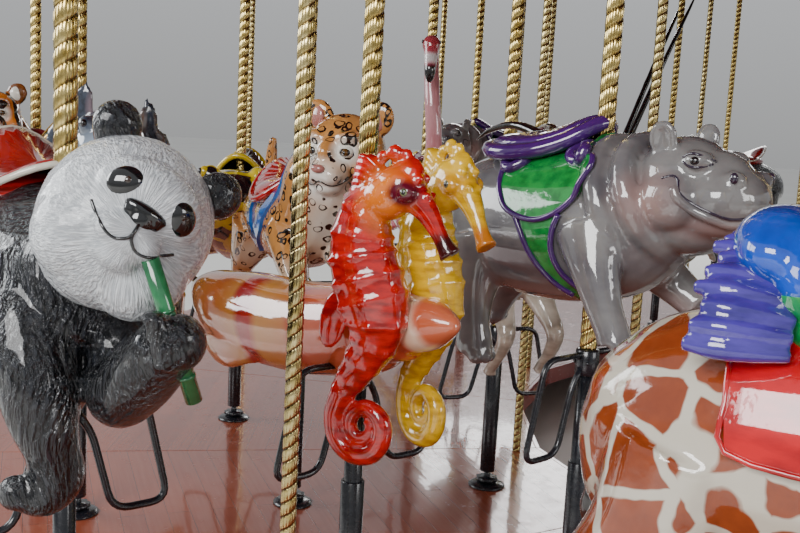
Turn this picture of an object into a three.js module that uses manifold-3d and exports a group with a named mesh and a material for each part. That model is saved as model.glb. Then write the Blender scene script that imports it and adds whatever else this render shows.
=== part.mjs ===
// Menagerie carousel: a hung ring deck under a fixed centre mast, with animal
// rides on brass poles that rise and fall in telescopic floor tubes.
// Millimetres, +Z up, origin on the ground at the centre of the mast.
import * as THREE from 'three';
import { mergeVertices } from 'three/addons/utils/BufferGeometryUtils.js';
import Module from 'manifold-3d';

const wasm = await Module();
wasm.setup();

// Driving dimensions
const SECTIONS = 18;
const SECTION_ANGLE = 360 / SECTIONS;
const CORNER_PHASE = 190.5;
const BANKS = 6;
const SECTIONS_PER_BANK = SECTIONS / BANKS;
const FIT_GAP = 0.3;
const RUNNING_GAP = 0.8;

const DECK_TOP = 300;
const DECK_PLATE = 40;
const DECK_INNER_R = 2330;
const DECK_OUTER_R = 5220;
const FASCIA_HEIGHT = 100;
const FASCIA_THICK = 22;

const POLE_R = 25.4;
const POLE_SIDES = 6;
const POLE_TOP = 3780;
const COLLAR_R = 34;
const COLLAR_HEIGHT = 75;
const TUBE_R = 31.5;
const TUBE_BORE_R = POLE_R + RUNNING_GAP;
const TUBE_TOP = 550;
const TUBE_BOTTOM = 66;
const FLANGE_R = 76;
const FLANGE_THICK = 14;
const NECK_R = 14;

// Stroke: a low ride stands 60 mm above its floor tube, a high one 260 mm.
const LOW_COLLAR = TUBE_TOP + 60;
const HIGH_COLLAR = TUBE_TOP + 260;
const LOW_POLE_END = TUBE_TOP - 415;
const HIGH_POLE_END = TUBE_TOP - 215;

// Footrest corners: millimetres out from the pole, and rise above the top rod
const FOOTREST_ROD_R = 9;
const FOOTREST_OUTLINE = [[15, 0], [180, 0], [245, -280], [110, -280], [60, -88], [24, -34]];

const HANGER_R = 19;
const HANGER_SIDES = 4;
const INNER_HANGER_R = 2460;
const MID_HANGER_R = 4250;
const HANGER_OFFSET = 0.9;

const SWEEP_BOTTOM = 3300;
const SWEEP_DEPTH = 120;
const SWEEP_WIDTH = 80;
const GUIDE_HALF = 60;
const GUIDE_DEPTH = 70;
const INNER_RIM = [2420, 2500];
const OUTER_RIM = [5080, 5150];
const HUB_R = 450;
const HUB_BOTTOM = 3250;
const HUB_HEIGHT = 230;
const MAST_R = 150;
const MAST_LEDGE_R = 215;
const MAST_TOP = 3440;
const MAST_BORE_R = 155;
const MAST_SIDES = 16;

const BOARD_OUTER_R = 5300;
const BOARD_THICK = 30;
const BOARD_BOTTOM = 3260;
const BOARD_TOP = 4020;
const CANOPY_THICK = 30;
const CANOPY_EAVE_R = 5330;
const CANOPY_APEX_R = 420;
const CANOPY_APEX_Z = 5120;
const KING_POST_R = 110;
const CROWN_TOP = 5620;

const SILL_ARMS = 6;
const SILL_REACH = 1600;
const SILL_SIZE = 160;
const FOOT_R = 170;
const FOOT_HEIGHT = 40;
const HOUSING_R = 800;
const HOUSING_WALL = 30;
const HOUSING_TOP = 3120;
const CORNICE_R = 850;
const CORNICE_HEIGHT = 110;

// Facets of the animal masses
const EGG_SIDES = 6;
const EGG_RINGS = 4;
const BODY_SIDES = 6;
const LEG_SIDES = 4;

const COLOURS = {
  steel: [0x2b2f36, 0.55, 0.6],
  brass: [0xc9a24a, 0.3, 0.9],
  deck: [0x8a4a35, 0.2, 0.0],
  fascia: [0x9c1f24, 0.35, 0.0],
  white: [0xe9e3d4, 0.4, 0.0],
  canopy: [0xb02a2e, 0.8, 0.0],
  panda: [0x202226, 0.25, 0.0],
  seahorse: [0xc3251f, 0.2, 0.0],
  hippo: [0x85787e, 0.25, 0.0],
  giraffe: [0xb9652c, 0.3, 0.0],
  leopard: [0xcdb184, 0.3, 0.0],
  oryx: [0xb9ab99, 0.3, 0.0],
  frog: [0xe0b81c, 0.2, 0.0],
  flamingo: [0xd6768a, 0.3, 0.0],
  elephant: [0x6e7074, 0.35, 0.0],
  tiger: [0xd0782c, 0.3, 0.0],
};


const group = new THREE.Group();

// Small helpers
function radians(degrees) {
  return degrees * Math.PI / 180;
}

function polar(radius, degrees, z = 0) {
  return new THREE.Vector3(radius * Math.cos(radians(degrees)), radius * Math.sin(radians(degrees)), z);
}

function toSolid(geometry) {
  const bare = geometry.clone();
  bare.deleteAttribute('normal');
  bare.deleteAttribute('uv');
  const merged = mergeVertices(bare, 0.001);
  return new wasm.Manifold(new wasm.Mesh({
    numProp: 3,
    vertProperties: new Float32Array(merged.attributes.position.array),
    triVerts: new Uint32Array(merged.index.array),
  }));
}

function toGeometry(solid) {
  const mesh = solid.getMesh();
  const geometry = new THREE.BufferGeometry();
  geometry.setAttribute('position', new THREE.BufferAttribute(new Float32Array(mesh.vertProperties), 3));
  geometry.setIndex(new THREE.BufferAttribute(new Uint32Array(mesh.triVerts), 1));
  geometry.computeVertexNormals();
  return geometry;
}

function joined(geometries) {
  return geometries.map(toSolid).reduce((sum, solid) => sum.add(solid));
}

function addPiece(name, geometry, colour) {
  const [color, roughness, metalness] = COLOURS[colour];
  const mesh = new THREE.Mesh(geometry, new THREE.MeshStandardMaterial({ color, roughness, metalness }));
  mesh.name = name;
  group.add(mesh);
  return mesh;
}

// Turned body from a profile of [radius, height] points, standing on Z
function turned(profile, sides) {
  const points = profile.map(([radius, height]) => new THREE.Vector2(radius, height));
  return new THREE.LatheGeometry(points, sides).rotateX(Math.PI / 2);
}

function bar(width, depth, height, x, y, z) {
  return new THREE.BoxGeometry(width, depth, height).translate(x, y, z);
}

// Egg-shaped mass at a place, with its long axis pitched up by a number of degrees
function egg(x, y, z, rx, ry, rz, pitch = 0) {
  return new THREE.SphereGeometry(1, EGG_SIDES, EGG_RINGS).rotateX(Math.PI / 2)
    .scale(rx, ry, rz).rotateY(-radians(pitch)).translate(x, y, z);
}

// Bent round body through places, each given as [x, y, z, radius]
function bent(places, sides = BODY_SIDES) {
  const last = places.length - 1;
  const geometry = new THREE.CylinderGeometry(1, 1, last, sides, last);
  const centres = places.map(([x, y, z]) => new THREE.Vector3(x, y, z));
  const turns = centres.map((centre, i) => {
    const along = centres[Math.min(i + 1, last)].clone().sub(centres[Math.max(i - 1, 0)]).normalize();
    return new THREE.Quaternion().setFromUnitVectors(new THREE.Vector3(0, 1, 0), along);
  });
  const position = geometry.attributes.position;
  for (let k = 0; k < position.count; k += 1) {
    const i = Math.round(position.getY(k) + last / 2);
    const point = new THREE.Vector3(position.getX(k), 0, position.getZ(k)).multiplyScalar(places[i][3]);
    point.applyQuaternion(turns[i]).add(centres[i]);
    position.setXYZ(k, point.x, point.y, point.z);
  }
  return geometry;
}

function bothSides(places) {
  const other = places.map(([x, y, z, r]) => [x, -y, z, r]);
  return [bent(places, LEG_SIDES), bent(other, LEG_SIDES)];
}

// Animal forms. Each stands at the deck with its pole on the local Z axis,
// facing local +X.
function pandaForm() {
  return [
    bent([[-520, 0, 960, 80], [-410, 0, 1000, 200], [-140, 0, 1100, 225], [100, 0, 1160, 200],
      [230, -20, 1200, 130]]),
    egg(330, -40, 1265, 195, 195, 190),
    egg(310, 110, 1400, 60, 40, 60),
    egg(310, -180, 1400, 60, 40, 60),
    bent([[60, -150, 1060, 110], [240, -230, 930, 90], [480, -140, 1090, 75]], LEG_SIDES),
    bent([[60, 150, 1060, 110], [260, 240, 960, 85], [480, 160, 1000, 70]], LEG_SIDES),
    ...bothSides([[-330, 120, 960, 150], [-210, 200, 700, 95], [-130, 210, 590, 75]]),
  ];
}

function seahorseForm() {
  const steed = (x, y, lift) => [
    bent([[x + 10, y, 700 + lift, 70], [x - 80, y, 800 + lift, 65], [x - 40, y, 960 + lift, 95],
      [x - 20, y, 1130 + lift, 125], [x + 20, y, 1270 + lift, 85], [x + 70, y, 1370 + lift, 75],
      [x + 240, y, 1240 + lift, 30]]),
    egg(x + 20, y, 740 + lift, 95, 45, 100),
  ];
  return [
    bent([[-900, -40, 900, 60], [-700, -40, 890, 190], [-420, -10, 930, 180], [-50, 0, 1015, 122],
      [230, 0, 1050, 60]]),
    ...steed(165, -95, 0),
    ...steed(205, 110, 20),
  ];
}

function hippoForm() {
  return [
    bent([[-600, 0, 1190, 90], [-480, 0, 1200, 210], [-180, 0, 1210, 240], [60, 0, 1270, 220],
      [220, 0, 1360, 160], [400, 0, 1310, 155], [560, 0, 1260, 90]]),
    bent([[30, -130, 1120, 120], [70, -190, 970, 90], [90, -190, 890, 75]], LEG_SIDES),
    bent([[60, 130, 1130, 120], [260, 180, 1090, 85], [330, 180, 1000, 70]], LEG_SIDES),
    ...bothSides([[-420, 130, 1100, 130], [-470, 170, 900, 85], [-420, 170, 770, 75]]),
  ];
}

function giraffeForm() {
  return [
    bent([[-640, 0, 1000, 100], [-500, 0, 1000, 240], [-150, 0, 1040, 240], [120, 0, 1150, 190],
      [380, 0, 1500, 100], [500, 0, 1840, 80], [560, 0, 1900, 85], [740, 0, 1820, 45]]),
    ...bothSides([[80, 110, 980, 110], [320, 150, 800, 60], [200, 150, 560, 45]]),
    ...bothSides([[-480, 120, 950, 130], [-580, 150, 740, 65], [-620, 150, 540, 50]]),
  ];
}

function catForm(size) {
  return [
    bent([[-560, 0, 1050, 60], [-460, 0, 1060, 140 * size], [-160, 0, 1060, 160 * size],
      [120, 0, 1130, 175 * size], [290, 0, 1330, 115], [350, 0, 1400, 130], [470, 0, 1360, 65]]),
    ...bothSides([[140, 80, 1080, 90], [340, 110, 930, 50], [480, 110, 900, 42]]),
    ...bothSides([[-440, 80, 1040, 100], [-520, 120, 860, 50], [-620, 120, 740, 42]]),
    bent([[-490, 0, 1060, 50], [-650, 0, 1180, 32], [-640, 0, 1380, 26]], LEG_SIDES),
  ];
}

function oryxForm() {
  return [
    bent([[-600, 0, 950, 80], [-480, 0, 940, 180], [-150, 0, 930, 190], [130, 0, 1010, 170],
      [330, 0, 1300, 90], [400, 0, 1400, 85], [620, 0, 1240, 45]]),
    bent([[390, -40, 1420, 22], [220, -50, 1700, 18], [60, -60, 1980, 8]], LEG_SIDES),
    bent([[390, 40, 1420, 22], [220, 50, 1700, 18], [60, 60, 1980, 8]], LEG_SIDES),
    ...bothSides([[150, 70, 900, 80], [300, 110, 700, 38], [180, 110, 540, 34]]),
    ...bothSides([[-440, 80, 900, 95], [-500, 120, 690, 40], [-600, 120, 520, 34]]),
  ];
}

function frogForm() {
  return [
    bent([[-480, 0, 800, 70], [-330, 0, 860, 190], [-60, 0, 980, 220], [180, 0, 1110, 190],
      [420, 0, 1160, 80]]),
    ...bothSides([[130, 90, 1020, 90], [310, 260, 800, 50], [360, 260, 700, 45]]),
    ...bothSides([[-250, 130, 880, 110], [60, 270, 830, 75], [-220, 300, 680, 55]]),
  ];
}

function flamingoForm() {
  return [
    bent([[-620, 0, 1010, 40], [-450, 0, 1030, 120], [-160, 0, 1060, 185], [110, 0, 1130, 120], [300, 0, 1250, 60],
      [350, 0, 1520, 48], [290, 0, 1800, 45], [400, 0, 1830, 50], [460, 0, 1690, 26]]),
    ...bothSides([[-150, 60, 960, 60], [-75, 90, 740, 28], [-230, 90, 580, 26]]),
  ];
}

function elephantForm() {
  return [
    bent([[-580, 0, 1090, 100], [-460, 0, 1090, 220], [-150, 0, 1100, 250], [90, 0, 1190, 220],
      [290, 0, 1320, 180], [400, 0, 1250, 100], [520, 0, 1010, 55], [680, 0, 960, 34]]),
    egg(230, 250, 1330, 50, 150, 170),
    egg(230, -250, 1330, 50, 150, 170),
    ...bothSides([[110, 120, 1000, 100], [150, 150, 650, 80]]),
    ...bothSides([[-420, 120, 1000, 120], [-480, 150, 640, 80]]),
  ];
}

const FORMS = {
  panda: pandaForm,
  seahorse: seahorseForm,
  hippo: hippoForm,
  giraffe: giraffeForm,
  leopard: () => catForm(1),
  tiger: () => catForm(1.1),
  oryx: oryxForm,
  frog: frogForm,
  flamingo: flamingoForm,
  elephant: elephantForm,
};

// Rides: name, form, radius and angle of the pole, and high or low on its stroke.
// The first ten have their pole as a node of its own.
const RIDES = [
  ['panda', 'panda', 4710, 218.0, 'high'],
  ['seahorses', 'seahorse', 3950, 218.4, 'high'],
  ['hippo', 'hippo', 3300, 222.0, 'high'],
  ['giraffe', 'giraffe', 4200, 238.6, 'low'],
  ['leopard', 'leopard', 3600, 200.5, 'high'],
  ['oryx', 'oryx', 2760, 200.3, 'low'],
  ['frog', 'frog', 3790, 183.2, 'low'],
  ['flamingo', 'flamingo', 2900, 178.5, 'high'],
  ['elephant', 'elephant', 4400, 199.5, 'low'],
  ['tiger', 'tiger', 4720, 184.5, 'low'],
];
const FAR_RIDES = [
  ['far_hippo', 'hippo', 3150, 144.0, 'high'],
  ['far_frog', 'frog', 4550, 127.0, 'low'],
  ['far_oryx', 'oryx', 2860, 110.5, 'low'],
  ['far_panda', 'panda', 4500, 90.0, 'high'],
  ['side_elephant', 'elephant', 3400, 66.0, 'low'],
  ['side_seahorses', 'seahorse', 3500, 38.0, 'high'],
  ['side_leopard', 'leopard', 3300, 17.0, 'low'],
  ['side_giraffe', 'giraffe', 4520, 349.0, 'high'],
  ['near_hippo', 'hippo', 3350, 315.0, 'low'],
  ['near_tiger', 'tiger', 4450, 285.0, 'high'],
];
const ALL_RIDES = [...RIDES, ...FAR_RIDES];

function placeRide(geometry, radius, angle) {
  const place = polar(radius, angle, DECK_TOP);
  return geometry.rotateZ(radians(angle + 90)).translate(place.x, place.y, place.z);
}

// Brass pole with its black lower end and footrest collar
function poleShaft(level) {
  const collar = level === 'high' ? HIGH_COLLAR : LOW_COLLAR;
  const end = level === 'high' ? HIGH_POLE_END : LOW_POLE_END;
  const shift = level === 'high' ? 0 : -200;
  return turned([
    [0, end], [POLE_R, end], [POLE_R, collar], [COLLAR_R, collar],
    [COLLAR_R, collar + COLLAR_HEIGHT], [POLE_R, collar + COLLAR_HEIGHT],
    [POLE_R, POLE_TOP - DECK_TOP + shift], [0, POLE_TOP - DECK_TOP + shift],
  ], POLE_SIDES);
}

// Bent rod footrest, one loop each side of the collar

function footrest(level) {
  const top = (level === 'high' ? HIGH_COLLAR : LOW_COLLAR) + COLLAR_HEIGHT - 15;
  const rods = [];
  for (const side of [-1, 1]) {
    const places = FOOTREST_OUTLINE.map(([out, rise]) => [0, side * out, top + rise, FOOTREST_ROD_R]);
    rods.push(bent(places, LEG_SIDES));
  }
  return rods;
}

function polePiece(level) {
  return joined([poleShaft(level), ...footrest(level)]);
}

function addRide([name, form, radius, angle, level], separatePole) {
  const shape = joined(FORMS[form]());
  if (separatePole) {
    const bore = toSolid(turned([[0, 100], [POLE_R + FIT_GAP, 100], [POLE_R + FIT_GAP, 3400], [0, 3400]],
      POLE_SIDES));
    const figure = toGeometry(shape.subtract(bore));
    addPiece(`${name}_figure`, placeRide(figure, radius, angle), form);
    addPiece(`${name}_pole`, placeRide(toGeometry(polePiece(level)), radius, angle), 'brass');
    return;
  }
  const whole = toGeometry(shape.add(toSolid(poleShaft(level))));
  addPiece(`${name}_ride`, placeRide(whole, radius, angle), form);
}

// Floor tube of one ride: flange, neck and open-topped tube
function floorTube() {
  return turned([
    [0, -DECK_PLATE / 2], [FLANGE_R, -DECK_PLATE / 2], [FLANGE_R, FLANGE_THICK], [NECK_R, TUBE_BOTTOM],
    [TUBE_R, TUBE_BOTTOM], [TUBE_R, TUBE_TOP], [TUBE_BORE_R, TUBE_TOP],
    [TUBE_BORE_R, TUBE_BOTTOM + 8], [0, TUBE_BOTTOM + 8],
  ], POLE_SIDES);
}

// Polygon plate between two corner radii, over some sections from a corner
function sectorPlate(innerR, outerR, firstCorner, sections, bottom, height) {
  const shape = new THREE.Shape();
  const angles = [];
  for (let i = 0; i <= sections; i += 1) {
    angles.push(CORNER_PHASE + (firstCorner + i) * SECTION_ANGLE);
  }
  const trim = FIT_GAP / 2;
  const edge = (radius, i) => {
    const corner = polar(radius, angles[i]);
    if (i !== 0 && i !== sections) {
      return corner;
    }
    const side = polar(trim, angles[i] + (i === 0 ? 90 : -90));
    return corner.add(side);
  };
  const loop = [];
  for (let i = 0; i <= sections; i += 1) {
    loop.push(edge(outerR, i));
  }
  for (let i = sections; i >= 0; i -= 1) {
    loop.push(edge(innerR, i));
  }
  loop.forEach((point, i) => (i === 0 ? shape.moveTo(point.x, point.y) : shape.lineTo(point.x, point.y)));
  return new THREE.ExtrudeGeometry(shape, { depth: height, bevelEnabled: false }).translate(0, 0, bottom);
}

// Closed ring with a rectangular section on the deck's polygon
function polygonRing(innerR, outerR, bottom, top) {
  const profile = [[innerR, bottom], [outerR, bottom], [outerR, top], [innerR, top], [innerR, bottom]];
  const ring = turned(profile, SECTIONS);
  return ring.rotateZ(radians(CORNER_PHASE + 90));
}

function bankOf(angle) {
  const turn = (((angle - CORNER_PHASE) % 360) + 360) % 360;
  return Math.floor(turn / (SECTION_ANGLE * SECTIONS_PER_BANK));
}

function addDeck() {
  const inner = DECK_INNER_R + FASCIA_THICK + FIT_GAP;
  const outer = DECK_OUTER_R - FASCIA_THICK - FIT_GAP;
  for (let bank = 0; bank < BANKS; bank += 1) {
    const plate = sectorPlate(inner, outer, bank * SECTIONS_PER_BANK, SECTIONS_PER_BANK,
      DECK_TOP - DECK_PLATE, DECK_PLATE);
    const tubes = ALL_RIDES.filter((ride) => bankOf(ride[3]) === bank)
      .map((ride) => placeRide(floorTube(), ride[2], ride[3]));
    addPiece(`deck_segment_${bank + 1}`, toGeometry(joined([plate, ...tubes])), 'deck');
  }
  const bottom = DECK_TOP - FASCIA_HEIGHT;
  const innerBand = polygonRing(DECK_INNER_R, DECK_INNER_R + FASCIA_THICK, bottom, DECK_TOP);
  const outerBand = polygonRing(DECK_OUTER_R - FASCIA_THICK, DECK_OUTER_R, bottom, DECK_TOP);
  addPiece('inner_fascia', innerBand, 'fascia');
  addPiece('outer_fascia', outerBand, 'fascia');
}

// Twisted deck hanger, plain here, from a sweep down to the deck
function hanger(radius, angle) {
  const foot = DECK_TOP + FIT_GAP;
  const place = polar(radius, angle);
  const head = SWEEP_BOTTOM + 20;
  return turned([[0, foot], [HANGER_R, foot], [HANGER_R, head], [0, head]], HANGER_SIDES)
    .translate(place.x, place.y, 0);
}

function sweepBar(angle) {
  const length = DECK_OUTER_R - 60 - HUB_R;
  const middle = HUB_R + FIT_GAP + length / 2;
  return bar(length, SWEEP_WIDTH, SWEEP_DEPTH, middle, 0, SWEEP_BOTTOM + SWEEP_DEPTH / 2)
    .rotateZ(radians(angle));
}

// Flat cross plate that carries a pole guide from the nearest sweeps
function crossPlate(radius, angle, bank) {
  const past = (((angle - CORNER_PHASE) % SECTION_ANGLE) + SECTION_ANGLE) % SECTION_ANGLE;
  const toSweep = Math.abs(past - SECTION_ANGLE / 2) + 1.5;
  const half = Math.max(150, radius * Math.sin(radians(toSweep)));
  const plate = bar(GUIDE_HALF * 2, half * 2, GUIDE_DEPTH, radius, 0, SWEEP_BOTTOM + GUIDE_DEPTH / 2)
    .rotateZ(radians(angle));
  const wedge = sectorPlate(300, DECK_OUTER_R + 900, bank * SECTIONS_PER_BANK, SECTIONS_PER_BANK,
    SWEEP_BOTTOM - 10, SWEEP_DEPTH + 20);
  return toSolid(plate).intersect(toSolid(wedge));
}

// Upper slide guide of one pole
function guideBore(radius, angle) {
  const place = polar(radius, angle);
  const [low, high] = [SWEEP_BOTTOM - 100, SWEEP_BOTTOM + 200];
  return toSolid(turned([[0, low], [TUBE_BORE_R, low], [TUBE_BORE_R, high], [0, high]], POLE_SIDES)
    .rotateZ(radians(angle + 90)).translate(place.x, place.y, 0));
}

function addSweeps() {
  for (let bank = 0; bank < BANKS; bank += 1) {
    const firstCorner = bank * SECTIONS_PER_BANK;
    const rims = [INNER_RIM, OUTER_RIM].map(([inner, outer]) => sectorPlate(inner, outer,
      firstCorner, SECTIONS_PER_BANK, SWEEP_BOTTOM, SWEEP_DEPTH));
    const bars = [];
    const hangers = [];
    for (let i = 0; i < SECTIONS_PER_BANK; i += 1) {
      const middle = CORNER_PHASE + (firstCorner + i + 0.5) * SECTION_ANGLE;
      bars.push(sweepBar(middle));
      hangers.push(hanger(INNER_HANGER_R, middle - SECTION_ANGLE / 2 + HANGER_OFFSET));
    }
    hangers.push(hanger(MID_HANGER_R, CORNER_PHASE + (firstCorner + 1.5) * SECTION_ANGLE));
    let frame = joined([...rims, ...bars, ...hangers]);
    for (const [, , radius, angle] of ALL_RIDES.filter((each) => bankOf(each[3]) === bank)) {
      frame = frame.add(crossPlate(radius, angle, bank)).subtract(guideBore(radius, angle));
    }
    addPiece(`sweep_bank_${bank + 1}`, toGeometry(frame), 'steel');
  }
}

function addTop() {
  const hubTop = HUB_BOTTOM + HUB_HEIGHT;
  const hub = toSolid(turned([[MAST_BORE_R, HUB_BOTTOM], [HUB_R, HUB_BOTTOM], [HUB_R, hubTop],
    [MAST_BORE_R, hubTop], [MAST_BORE_R, HUB_BOTTOM]], MAST_SIDES));
  addPiece('sweep_hub', toGeometry(hub), 'steel');
  const postFoot = hubTop + FIT_GAP;
  const postTop = CANOPY_APEX_Z - 40;
  addPiece('king_post', turned([[0, postFoot], [HUB_R - 120, postFoot], [HUB_R - 120, postFoot + 40],
    [KING_POST_R, postFoot + 60], [KING_POST_R, postTop - 20], [CANOPY_APEX_R - 40, postTop],
    [0, postTop]], 12), 'steel');
  const boards = polygonRing(BOARD_OUTER_R - BOARD_THICK, BOARD_OUTER_R, BOARD_BOTTOM, BOARD_TOP);
  addPiece('rounding_boards', boards, 'white');
  const eave = BOARD_TOP + FIT_GAP;
  const canopy = turned([[0, CANOPY_APEX_Z - 40 + FIT_GAP], [CANOPY_APEX_R, CANOPY_APEX_Z - 40 + FIT_GAP],
    [CANOPY_EAVE_R - 60, eave], [CANOPY_EAVE_R, eave], [CANOPY_EAVE_R, eave + CANOPY_THICK],
    [CANOPY_APEX_R, CANOPY_APEX_Z + CANOPY_THICK], [0, CANOPY_APEX_Z + CANOPY_THICK]], SECTIONS)
    .rotateZ(radians(CORNER_PHASE + 90));
  addPiece('canopy', canopy, 'canopy');
  const crownFoot = CANOPY_APEX_Z + CANOPY_THICK + FIT_GAP;
  addPiece('crown', turned([[0, crownFoot], [380, crownFoot], [360, crownFoot + 90], [160, crownFoot + 230],
    [190, crownFoot + 300], [60, crownFoot + 380], [0, CROWN_TOP]], 12), 'brass');
}

function addCentre() {
  const arms = [];
  for (let i = 0; i < SILL_ARMS; i += 1) {
    const angle = i * 360 / SILL_ARMS;
    arms.push(bar(SILL_REACH, SILL_SIZE, SILL_SIZE - FOOT_HEIGHT, SILL_REACH / 2, 0,
      FOOT_HEIGHT + (SILL_SIZE - FOOT_HEIGHT) / 2).rotateZ(radians(angle)));
    const place = polar(SILL_REACH - 60, angle);
    arms.push(turned([[0, 0], [FOOT_R, 0], [FOOT_R, FOOT_HEIGHT + 5], [0, FOOT_HEIGHT + 5]], 6)
      .translate(place.x, place.y, 0));
  }
  const boss = turned([[0, 0], [420, 0], [420, SILL_SIZE], [0, SILL_SIZE]], SILL_ARMS);
  addPiece('base_frame', toGeometry(joined([boss, ...arms])), 'steel');
  const foot = SILL_SIZE + FIT_GAP;
  addPiece('centre_mast', turned([[0, foot], [MAST_LEDGE_R, foot], [MAST_LEDGE_R, foot + 60],
    [MAST_R, foot + 80], [MAST_R, HUB_BOTTOM - 80], [MAST_LEDGE_R, HUB_BOTTOM - 60],
    [MAST_LEDGE_R, HUB_BOTTOM - RUNNING_GAP], [MAST_R, HUB_BOTTOM - RUNNING_GAP],
    [MAST_R, MAST_TOP], [0, MAST_TOP]], MAST_SIDES), 'steel');
  addPiece('centre_housing', polygonRing(HOUSING_R - HOUSING_WALL, HOUSING_R, foot, HOUSING_TOP), 'white');
  addPiece('housing_cornice', polygonRing(HOUSING_R - HOUSING_WALL, CORNICE_R, HOUSING_TOP + FIT_GAP,
    HOUSING_TOP + CORNICE_HEIGHT), 'fascia');
}

addCentre();
addDeck();
addSweeps();
addTop();
RIDES.forEach((ride) => addRide(ride, true));
FAR_RIDES.forEach((ride) => addRide(ride, false));

export default group;
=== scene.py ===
import math

import bmesh
import bpy
from mathutils import Euler, Matrix, Vector
from mathutils.bvhtree import BVHTree


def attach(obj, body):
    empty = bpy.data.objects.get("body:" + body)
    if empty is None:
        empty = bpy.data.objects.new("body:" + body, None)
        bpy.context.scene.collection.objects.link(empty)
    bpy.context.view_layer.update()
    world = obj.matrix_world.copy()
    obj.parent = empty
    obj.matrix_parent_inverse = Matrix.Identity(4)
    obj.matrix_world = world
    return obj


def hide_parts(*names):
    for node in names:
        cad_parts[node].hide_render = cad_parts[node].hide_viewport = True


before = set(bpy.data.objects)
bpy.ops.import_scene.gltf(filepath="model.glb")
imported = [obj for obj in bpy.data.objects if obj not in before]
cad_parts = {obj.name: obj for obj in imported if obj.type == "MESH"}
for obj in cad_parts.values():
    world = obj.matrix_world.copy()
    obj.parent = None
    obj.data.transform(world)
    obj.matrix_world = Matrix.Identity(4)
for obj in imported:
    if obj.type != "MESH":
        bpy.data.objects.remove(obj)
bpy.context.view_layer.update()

# Dimensions
DECK_TOP = 0.3
CORNER_PHASE = 190.5
SECTIONS = 18
SECTION_ANGLE = 20.0
DECK_INNER_R = 2.33
DECK_OUTER_R = 5.22
BAND_THICK = 0.022
POLE_R = 0.0254
POLE_TOP = {"high": 3.78, "low": 3.58}
TUBE_R = 0.0315
TUBE_TOP = 0.55
TUBE_BOTTOM = 0.066
FLANGE_R = 0.076
COLLAR_R = 0.034
COLLAR_HEIGHT = 0.075
COLLAR_FOOT = {"high": 0.81, "low": 0.61}
POLE_END = {"high": 0.335, "low": 0.135}
HANGER_R = 0.0195
INNER_HANGER_R = 2.46
MID_HANGER_R = 4.25
HANGER_OFFSET = 0.9
HANGER_PITCH = 0.033
MID_HANGER_PHASE = 220.5
POLE_PITCH = 0.042
NEAR_POLES = ("panda", "seahorses", "hippo", "leopard", "giraffe")
FOOTREST_R = 0.009
FOOTREST_BEND = 0.045
SWEEP_BOTTOM = 3.3
SWEEP_TOP = 3.42
FOOTREST = [(0.015, 0.0), (0.18, 0.0), (0.245, -0.28), (0.11, -0.28), (0.06, -0.088), (0.024, -0.034)]

RIDES = {
    "panda": (4.71, 218.0, "high"),
    "seahorses": (3.95, 218.4, "high"),
    "hippo": (3.3, 222.0, "high"),
    "giraffe": (4.2, 238.6, "low"),
    "leopard": (3.6, 200.5, "high"),
    "oryx": (2.76, 200.3, "low"),
    "frog": (3.79, 183.2, "low"),
    "flamingo": (2.9, 178.5, "high"),
    "elephant": (4.4, 199.5, "low"),
    "tiger": (4.72, 184.5, "low"),
    "far_hippo": (3.15, 144.0, "high"),
    "far_frog": (4.55, 127.0, "low"),
    "far_oryx": (2.86, 110.5, "low"),
    "far_panda": (4.5, 90.0, "high"),
    "side_elephant": (3.4, 66.0, "low"),
    "side_seahorses": (3.5, 38.0, "high"),
    "side_leopard": (3.3, 17.0, "low"),
    "side_giraffe": (4.52, 349.0, "high"),
    "near_hippo": (3.35, 315.0, "low"),
    "near_tiger": (4.45, 285.0, "high"),
}


def ride_place(ride):
    radius, angle, _ = RIDES[ride]
    turn = math.radians(angle)
    spot = Vector((radius * math.cos(turn), radius * math.sin(turn), DECK_TOP))
    return Matrix.Translation(spot) @ Matrix.Rotation(turn + math.pi / 2, 4, "Z")


def polar(radius, degrees, height=0.0):
    turn = math.radians(degrees)
    return Vector((radius * math.cos(turn), radius * math.sin(turn), height))


def corner_angle(section):
    """Angle of a section's first corner; half a section on is the middle of its facet."""
    return CORNER_PHASE + section * SECTION_ANGLE


def facet_reach(radius):
    """Distance from the axis to the flat of a facet whose corners stand at the radius."""
    return radius * math.cos(math.radians(SECTION_ANGLE / 2))


def facet_half(radius):
    return radius * math.sin(math.radians(SECTION_ANGLE / 2))


# View
def photo_camera():
    pitch, roll = math.radians(8.3), math.radians(3.0)
    ahead = Vector((0, math.cos(pitch), -math.sin(pitch)))
    level = Vector((1, 0, 0))
    upright = level.cross(ahead)
    right = level * math.cos(roll) + upright * math.sin(roll)
    up = right.cross(ahead)
    turn = Matrix((right, up, -ahead)).transposed().to_4x4()
    data = bpy.data.cameras.new("photo_view")
    data.lens = 45.0
    data.sensor_width = 36.0
    data.clip_start = 0.05
    camera = bpy.data.objects.new("photo_view", data)
    camera.matrix_world = Matrix.Translation((-3.0, -5.0, 1.8)) @ turn
    bpy.context.scene.collection.objects.link(camera)
    bpy.context.scene.camera = camera


def area_light(name, spot, target, size, power, tint=(1, 1, 1)):
    data = bpy.data.lights.new(name, "AREA")
    data.shape = "RECTANGLE"
    data.size, data.size_y = size
    data.energy = power
    data.color = tint
    lamp = bpy.data.objects.new(name, data)
    aim = (Vector(target) - Vector(spot)).to_track_quat("-Z", "Y").to_matrix().to_4x4()
    lamp.matrix_world = Matrix.Translation(spot) @ aim
    bpy.context.scene.collection.objects.link(lamp)


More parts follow.
